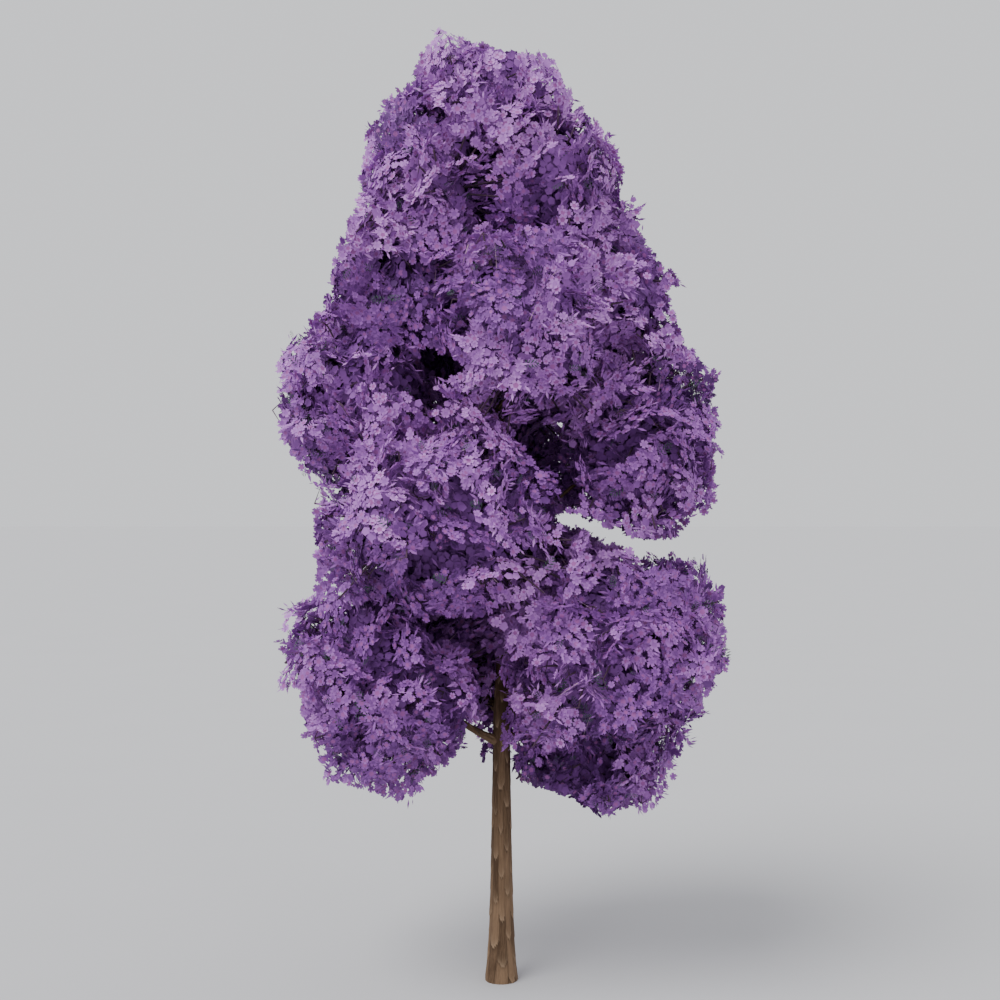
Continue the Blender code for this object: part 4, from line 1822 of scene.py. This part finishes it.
@dataclass(frozen=True)
class Flowers:
    """The flowers of one mass, and the slim petals that stand up beside them.

    Most are flowers with lobes, and the plain ones that lie a little deeper between them are discs, a tint
    deeper as painted shade.
    """

    plot: Plot
    batch: Batch
    shapes: Shapes
    radius: float = 0.051
    spread: float = 0.18
    most_spread: float = 0.3
    cover: float = 1.16
    fewest: int = 6
    turn_scatter: float = 0.15
    lobing: float = 0.16
    lobes: int = 3
    droops: tuple[float, float] = (0.3, 1.5)
    drop_scatter: float = 0.010
    tilt: float = 0.12
    buried: float = 0.72
    least_kept: float = 0.45
    patch: float = 0.112
    patch_row: int = 4096
    layers: int = 3
    plain_share: float = 0.15
    plain_depth: float = 0.025
    plain_size: float = 0.95
    flower_size: float = 1.04
    darker_share: float = 0.12
    paler_share: float = 0.10
    throat_share: float = 0.45
    inner_size: float = 1.05
    inner_cover: float = 1.35
    inner_most: float = 0.9
    petal_share: float = 0.85
    petal_length: float = 0.11
    petal_lengths: tuple[float, float] = (0.7, 1.3)
    petal_shift: float = 0.5
    petal_rise: float = 0.7
    petal_along: float = 0.5
    petal_scatter: float = 0.22
    petal_tilt: float = 0.5
    petal_hug: float = 0.45
    petal_most: float = 1.6
    petal_steps: tuple[int, ...] = (-1, 0, 1, 2)
    petal_chances: tuple[float, ...] = (0.2, 0.4, 0.3, 0.1)

    def count_for(self, plates: Plates) -> int:
        """Counts the flowers that plates may bear."""
        return int(np.sum(plates.slim * plates.radius**2) * self.cover / self.radius**2)

    def bloom(self, plates: Plates, most: float) -> Plates:
        """Covers outer plates with flowers.

        Args:
            plates: the plates.
            most: how near the room's walls the flowers may come.

        Returns:
            The plates that keep enough of their flowers, which are the only ones to have any.
        """
        rng = self.plot.rng
        owner, place, normal = self._spread(plates, self.radius, self.cover)
        chance = rng.normal(0, self.spread, len(owner)).clip(-self.most_spread, self.most_spread)
        size = self.radius * (1 + chance)
        keep = self._free(place, most) & ~in_windows((place + plates.middle[owner]) / 2)
        count = len(plates.radius)
        needed = self.least_kept * np.bincount(owner, minlength=count)
        whole = np.bincount(owner[keep], minlength=count) >= needed
        keep &= whole[owner]
        keep[keep] = self._outermost(place[keep])
        owner, place, normal, size = owner[keep], place[keep], normal[keep], size[keep]
        axes = frames_facing(normal, rng.uniform(0, math.tau, len(owner)))
        plain = rng.random(len(owner)) < self.plain_share
        chance = rng.random(len(owner))
        darker = (chance < self.darker_share).astype(int) - (chance > 1 - self.paler_share)
        # Plain discs lie deeper and take a tint deeper, as painted shade; darker and paler are tone at
        # random.
        tint = np.clip(plates.tint[owner] + plain + darker, 0, DARKEST)
        place = np.where(plain[:, None], place - plates.normal[owner] * self.plain_depth, place)
        size = np.where(plain, self.plain_size, self.flower_size) * size
        throat = rng.random(len(owner)) < self.throat_share
        inner = np.where(throat, number_of(Tint.THROAT), np.minimum(tint + 1, DARKEST))
        for shape, some in ((self.shapes.flower, ~plain), (self.shapes.disc, plain)):
            frames = axes[some] * size[some, None, None]
            self.batch.add(shape, frames, place[some], tint[some], inner[some])
        self._petals(plates, owner, place)
        return plates.kept(whole)

    def fill(self, plates: Plates) -> None:
        """Fills the mass's shaded inside with simpler flowers, whose tint is painted shade.

        Args:
            plates: its inner plates.
        """
        size = self.inner_size * self.radius
        owner, place, normal = self._spread(plates, size, self.inner_cover)
        keep = self.plot.fits(place, self.plot.clearance, self.inner_most)
        owner, place, normal = owner[keep], place[keep], normal[keep]
        axes = frames_facing(normal, self.plot.rng.uniform(0, math.tau, len(owner)))
        self.batch.add(self.shapes.disc, axes * size, place, plates.tint[owner])
        self._petals(plates, owner, place)

    def _spread(self, plates: Plates, size: float, cover: float) -> tuple[np.ndarray, ...]:
        """Spreads flowers over plates, like the seeds of a sunflower.

        Args:
            plates: the plates.
            size: a flower's radius.
            cover: how many times over the flowers cover a plate.

        Returns:
            Each flower's plate, place and normal.
        """
        rng = self.plot.rng
        counts = np.rint(cover * plates.slim * plates.radius**2 / size**2)
        counts = np.maximum(self.fewest, counts).astype(int)
        owner = np.repeat(np.arange(len(counts)), counts)
        order = np.arange(len(owner)) - np.repeat(np.cumsum(counts) - counts, counts)
        share = np.sqrt((order + 0.5) / counts[owner])
        turn = GOLDEN * order + rng.uniform(0, math.tau, len(counts))[owner]
        turn += rng.normal(0, self.turn_scatter, len(owner))
        lobe_turn = self.lobes * turn + rng.uniform(0, math.tau, len(counts))[owner]
        out = plates.radius[owner] * share * (1 + self.lobing * np.sin(lobe_turn) * share)
        axes = frames_along(plates.normal, plates.along)[owner]
        x, y = out * np.cos(turn), out * np.sin(turn) * plates.slim[owner]
        droop = DROOP * rng.uniform(*self.droops, len(counts))[owner]
        drop = droop * out**2 / plates.radius[owner] + rng.normal(0, self.drop_scatter, len(owner))
        flat = axes[:, 0] * x[:, None] + axes[:, 1] * y[:, None]
        place = plates.middle[owner] + flat - axes[:, 2] * drop[:, None]
        lean = 2 * droop[:, None] * flat / plates.radius[owner][:, None]
        return owner, place, unit(axes[:, 2] + lean + rng.normal(0, self.tilt, place.shape))

    def _outermost(self, place: np.ndarray) -> np.ndarray:
        """True for each flower that has room to show past those that lie further out.

        Args:
            place: the flowers' places.

        Returns:
            A truth value for each: in each small patch of the sky round the room, the outermost are kept.
        """
        way = place - self.plot.room.centre
        far = np.linalg.norm(way, axis=1)
        scale = self.plot.room.half.mean() / self.patch
        down = np.floor(np.arccos(way[:, 2] / far) * scale)
        flat = np.sin((down + 0.5) / scale)
        around = np.floor(np.arctan2(way[:, 1], way[:, 0]) * scale * flat)
        patch = down * self.patch_row + around
        order = np.lexsort((-far, patch))
        starts = np.flatnonzero(np.diff(patch[order], prepend=-np.inf))
        counts = np.diff(starts, append=len(order))
        rank = np.arange(len(order)) - np.repeat(starts, counts)
        keep = np.zeros(len(order), bool)
        keep[order] = rank < self.layers
        return keep

    def _free(self, place: np.ndarray, most: float) -> np.ndarray:
        """True for each flower that fits its room and isn't buried in another mass.

        Args:
            place: the flowers' places.
            most: how near the room's walls they may come.

        Returns:
            A truth value for each.
        """
        keep = self.plot.fits(place, self.plot.clearance, most)
        for other in self.plot.rooms:
            keep &= (other.open_share_of(place) > self.buried) | (other is self.plot.room)
        return keep

    def _petals(self, plates: Plates, owner: np.ndarray, place: np.ndarray) -> None:
        """Sets slim petals that stand up and out beside the flowers, like the strokes of a feather.

        Args:
            plates: the plates.
            owner: each flower's plate.
            place: each flower's place.
        """
        rng = self.plot.rng
        picked = rng.integers(0, len(owner), round(self.petal_share * len(owner)))
        owner = owner[picked]
        place = place[picked] + rng.normal(0, self.petal_shift * self.radius, (len(picked), 3))
        up = plates.normal[owner]
        along = unit(plates.along[owner])
        rise = rng.uniform(0.0, self.petal_rise, len(owner))[:, None]
        out = unit(place - plates.middle[owner])
        way = out + up * rise + self.petal_along * along
        way = unit(way + rng.normal(0, self.petal_scatter, place.shape))
        open_way = unit(place - self.plot.room.centre)
        past = np.sum(way * open_way, axis=1, keepdims=True).clip(0, 1)
        way = unit(way - self.petal_hug * past * open_way)
        length = self.petal_length * rng.uniform(*self.petal_lengths, len(owner))
        frames = frames_leading(way, up + rng.normal(0, self.petal_tilt, place.shape), length)
        keep = np.ones(len(owner), bool)
        for points in (place, place + way * length[:, None]):
            keep &= self.plot.fits(points, self.plot.fine_clearance, self.petal_most)
        step = rng.choice(self.petal_steps, len(owner), p=self.petal_chances)
        tint = np.clip(plates.tint[owner] + step, 0, DARKEST)
        self.batch.add(self.shapes.petal, frames[keep], place[keep], tint[keep])


@dataclass(frozen=True)
class Leaves:
    """The feathery leaves of one mass, under the rims of its outer plates."""

    plot: Plot
    batch: Batch
    shapes: Shapes
    a_plate: int = 2
    length: float = 0.15
    lengths: tuple[float, float] = (0.75, 1.25)
    outs: tuple[float, float] = (0.3, 1.0)
    drops: tuple[float, float] = (-0.05, 0.05)
    way_scatter: float = 0.35
    tilt: float = 0.4
    foot_most: float = 0.98
    tip_most: float = 0.99
    dark_share: float = 0.5

    def grow(self, plates: Plates) -> None:
        """Sets the leaves.

        Args:
            plates: the mass's outer plates.
        """
        rng, plot = self.plot.rng, self.plot
        owner = np.repeat(np.arange(len(plates.radius)), self.a_plate)
        axes = frames_facing(plates.normal[owner], rng.uniform(0, math.tau, len(owner)))
        length = self.length * rng.uniform(*self.lengths, len(owner))
        out = plates.radius[owner] * rng.uniform(*self.outs, len(owner))
        place = plates.under(owner, axes, out, rng.uniform(*self.drops, len(owner)))
        way = unit(axes[:, 0] + rng.normal(0, self.way_scatter, place.shape))
        frames = frames_leading(way, axes[:, 2] + rng.normal(0, self.tilt, place.shape), length)
        keep = plot.fits(place, plot.clearance, self.foot_most)
        keep &= plot.fits(place + way * length[:, None], plot.fine_clearance, self.tip_most)
        green = (rng.random(len(owner)) < self.dark_share).astype(int)
        self.batch.add(self.shapes.leaf, frames[keep], place[keep], green[keep])


@dataclass(frozen=True)
class Twigs:
    """The twigs of one mass: main twigs, a twig to each plate, ribs under its flowers and some bare ones."""

    plot: Plot
    batch: Batch
    shapes: Shapes
    mains: int = 5
    main_share: float = 0.30
    main_radius: float = 0.034
    plate_depth: float = 0.55
    plate_radius: float = 0.019
    ribs: int = 3
    rib_radius: float = 0.008
    rib_scatter: float = 0.25
    rib_outs: tuple[float, float] = (0.55, 0.95)
    rib_drop: float = 0.03
    bare_share: float = 0.12
    bare_radius: float = 0.011
    bare_lengths: tuple[float, float] = (0.8, 1.3)
    bare_half: float = 0.6
    bare_foot: float = 0.02
    bare_head: float = 0.06
    spikes: int = 3
    spike_tries: int = 9
    spike_radius: float = 0.012
    spike_share: float = 0.99
    least_open: float = 0.50
    checks: int = 12

    def grow(self, plates: Plates) -> None:
        """Grows the twigs.

        Args:
            plates: the mass's outer plates.
        """
        room, rng, spare = self.plot.room, self.plot.rng, self.plot.fine_clearance
        spin = random.Random(f"{SEED} {room.mass.name}").uniform(0, math.tau)
        ways = even_ways(self.mains, spin)
        mains = room.centre + ways * (self.main_share * room.reach(ways))[:, None]
        centre = np.repeat(room.centre[None], len(mains), axis=0)
        self._sticks(self.shapes.twig, centre, mains, self.main_radius, Wood.TWIG)
        root = plates.middle - plates.normal * (self.plate_depth * plates.radius)[:, None]
        self._sticks(self.shapes.twig, nearest_of(root, mains), root, self.plate_radius, Wood.TWIG)
        owner = np.repeat(np.arange(len(root)), self.ribs)
        turn = math.tau * np.arange(len(owner)) / self.ribs
        turn = turn + rng.normal(0, self.rib_scatter, len(owner))
        axes = frames_facing(plates.normal[owner], turn)
        out = plates.radius[owner] * rng.uniform(*self.rib_outs, len(owner))
        end = plates.under(owner, axes, out, self.rib_drop)
        keep = self.plot.fits(end, spare)
        self._sticks(self.shapes.rib, root[owner][keep], end[keep], self.rib_radius, Wood.TWIG)
        shows = rng.random(len(root)) < self.bare_share
        axes = frames_along(plates.normal, plates.along)[shows]
        half = self.bare_half * (plates.radius[shows] * rng.uniform(*self.bare_lengths, shows.sum()))
        foot = plates.middle[shows] - axes[:, 0] * half[:, None] - axes[:, 2] * self.bare_foot
        head = plates.middle[shows] + axes[:, 0] * half[:, None] + axes[:, 2] * self.bare_head
        keep = self.plot.fits(head, spare) & self.plot.fits(foot, spare)
        self._sticks(self.shapes.rib, foot[keep], head[keep], self.bare_radius, Wood.BARE)
        ways = even_ways(self.spike_tries, rng.uniform(0, math.tau))
        ways = ways[room.reach(ways) >= self.least_open * room.size(ways)][: self.spikes]
        ends = room.centre + ways * (room.reach(ways) * self.spike_share)[:, None]
        keep = self.plot.fits(ends, spare)
        start = nearest_of(ends, mains)[keep]
        self._sticks(self.shapes.rib, start, ends[keep], self.spike_radius, Wood.BARE)

    def _sticks(self, shape: Shape, start: np.ndarray, end: np.ndarray, thick: float, wood: Wood) -> None:
        """Adds straight twigs, but for those that end outside the box or cross a window.

        Args:
            shape: a twig's shape.
            start: where each starts.
            end: where each ends.
            thick: their radius at the foot.
            wood: their finish.
        """
        clear = in_box(end)
        for share in np.linspace(0.0, 1.0, self.checks):
            clear &= ~in_windows(start + share * (end - start))
        start, span = start[clear], (end - start)[clear]
        thicks = np.full(len(span), thick)
        axes = frames_facing(unit(span), np.zeros(len(span)))
        sizes = np.stack([thicks, thicks, np.linalg.norm(span, axis=1)], axis=-1)
        self.batch.add(shape, axes * sizes[:, :, None], start, np.full(len(span), number_of(wood)))


@dataclass
class Crown:
    """Every mass of blossom, with its leaves and twigs."""

    rooms: list[Room]
    limbs: list[Limb]
    tuft_most: float = 1.6
    painted_light_inside: float = 0.4
    flower_triangles: int = 12
    green_triangles: int = 6000
    shapes: Shapes = field(init=False)
    blossom: Batch = field(init=False)
    leaves: Batch = field(init=False)
    twigs: Batch = field(init=False)

    def __post_init__(self) -> None:
        """Models the small shapes and starts the batches."""
        self.shapes = Shapes.modelled()
        self.blossom = Batch("blossom", [tint.value for tint in Tint], "blossom")
        self.leaves = Batch("leaves", [green.value for green in Green], "blossom")
        self.twigs = Batch("twigs", [wood.value for wood in Wood], "bark")

    def build(self) -> None:
        """Grows every mass, and closes the pieces."""
        for index in range(len(self.rooms)):
            self._grow(Plot(self.rooms, self.limbs, index))
        for batch in (self.blossom, self.leaves, self.twigs):
            batch.close()
            log.info("%s: %d triangles in %d pieces", batch.kind, batch.total, batch.pieces)

    def _grow(self, plot: Plot) -> None:
        """Grows one mass.

        Args:
            plot: where it grows.
        """
        sprays, flowers = Sprays(plot), Flowers(plot, self.blossom, self.shapes)
        outer, inner = sprays.layer(OUTER), sprays.layer(INNER)
        rims = sprays.bridges().with_more(sprays.tufts())
        # The inside's discs take the tint of painted shade, one step paler under painted light.
        inner.tint[:] = number_of(Tint.SHADE) - (painted_light_at(inner.middle) > self.painted_light_inside)
        petals = flowers.count_for(outer.with_more(rims)) * self.flower_triangles
        needs = (petals, self.green_triangles, self.green_triangles)
        for batch, triangles in zip((self.blossom, self.leaves, self.twigs), needs):
            batch.room_for(triangles)
            batch.nodes.append("mass_" + plot.room.mass.name)
        outer = flowers.bloom(outer, 1.0).with_more(flowers.bloom(rims, self.tuft_most))
        flowers.fill(inner)
        Leaves(plot, self.leaves, self.shapes).grow(outer)
        Twigs(plot, self.twigs, self.shapes).grow(outer)


# Studio


@dataclass(frozen=True)
class Studio:
    """A plain pale floor, soft light from the upper left in front, and the camera."""

    floor_size: float = 600.0
    floor_colour: tuple[float, float, float] = (196, 196, 198)
    key_strength: float = 2.75
    key_softness: float = math.radians(35)
    key_tilt: tuple[float, float, float] = (math.radians(36), 0.0, math.radians(-48))
    fill_colour: tuple[float, float, float] = (0.84, 0.85, 0.88)
    fill_strength: float = 1.10
    grain_scale: tuple[float, float, float] = (0.4, 0.4, 0.4)
    grain_detail: float = 2.0
    grain_grit: float = 0.5
    grain_shade: float = 0.97
    floor_roughness: float = 0.9
    floor_gloss: float = 0.1
    lens: float = 50.0
    sensor: float = 36.0
    clip_end: float = 1000.0

    def build(self) -> None:
        """Makes the floor, the lights and the camera."""
        bpy.ops.object.select_all(action="DESELECT")
        bpy.ops.mesh.primitive_plane_add(size=self.floor_size)
        floor = bpy.context.object
        floor.name = "floor"
        floor.data.materials.append(self._floor_finish())
        world = bpy.data.worlds.new("studio")
        world.use_nodes = True
        background = world.node_tree.nodes["Background"]
        background.inputs["Color"].default_value = (*self.fill_colour, 1.0)
        background.inputs["Strength"].default_value = self.fill_strength
        bpy.context.scene.world = world
        key = bpy.data.lights.new("key", "SUN")
        key.energy = self.key_strength
        key.angle = self.key_softness
        lamp = bpy.data.objects.new("key", key)
        lamp.rotation_euler = self.key_tilt
        bpy.context.scene.collection.objects.link(lamp)
        self._camera()

    def _floor_finish(self) -> bpy.types.Material:
        """Makes the floor's material, which is hardly uneven.

        Returns:
            The material.
        """
        graph = Graph("studio_floor")
        grain = graph.noise(self.grain_scale, self.grain_detail, self.grain_grit)
        colour = linear(self.floor_colour)
        worn = tuple(part * self.grain_shade for part in colour[:3]) + (1.0,)
        graph.paint(graph.blend(grain, worn, colour), self.floor_roughness, self.floor_gloss)
        return graph.material

    def _camera(self) -> None:
        """Makes the camera, level with the middle of the crown."""
        data = bpy.data.cameras.new("camera")
        data.lens = self.lens
        data.sensor_width = self.sensor
        data.clip_end = self.clip_end
        camera = bpy.data.objects.new("camera", data)
        camera.location = EYE
        camera.rotation_euler = (math.radians(90), 0, 0)
        bpy.context.scene.collection.objects.link(camera)
        bpy.context.scene.camera = camera


def main() -> None:
    """Builds the tree's looks, then the studio."""
    logging.basicConfig(level=logging.INFO, format="%(name)s: %(message)s")
    trunk = Trunk()
    rooms = rooms_of(MASSES)
    bark = BarkFinish("bark").material()
    trunk.build(bark)
    lines = tuple(BoughLine(room, trunk) for room in rooms)
    Boughs(lines).build(bark)
    limbs = trunk.limbs()
    for line in lines[1:]:
        limbs += line.limbs()
    Crown(rooms, limbs).build()
    Studio().build()


if __name__ == "__main__":
    main()
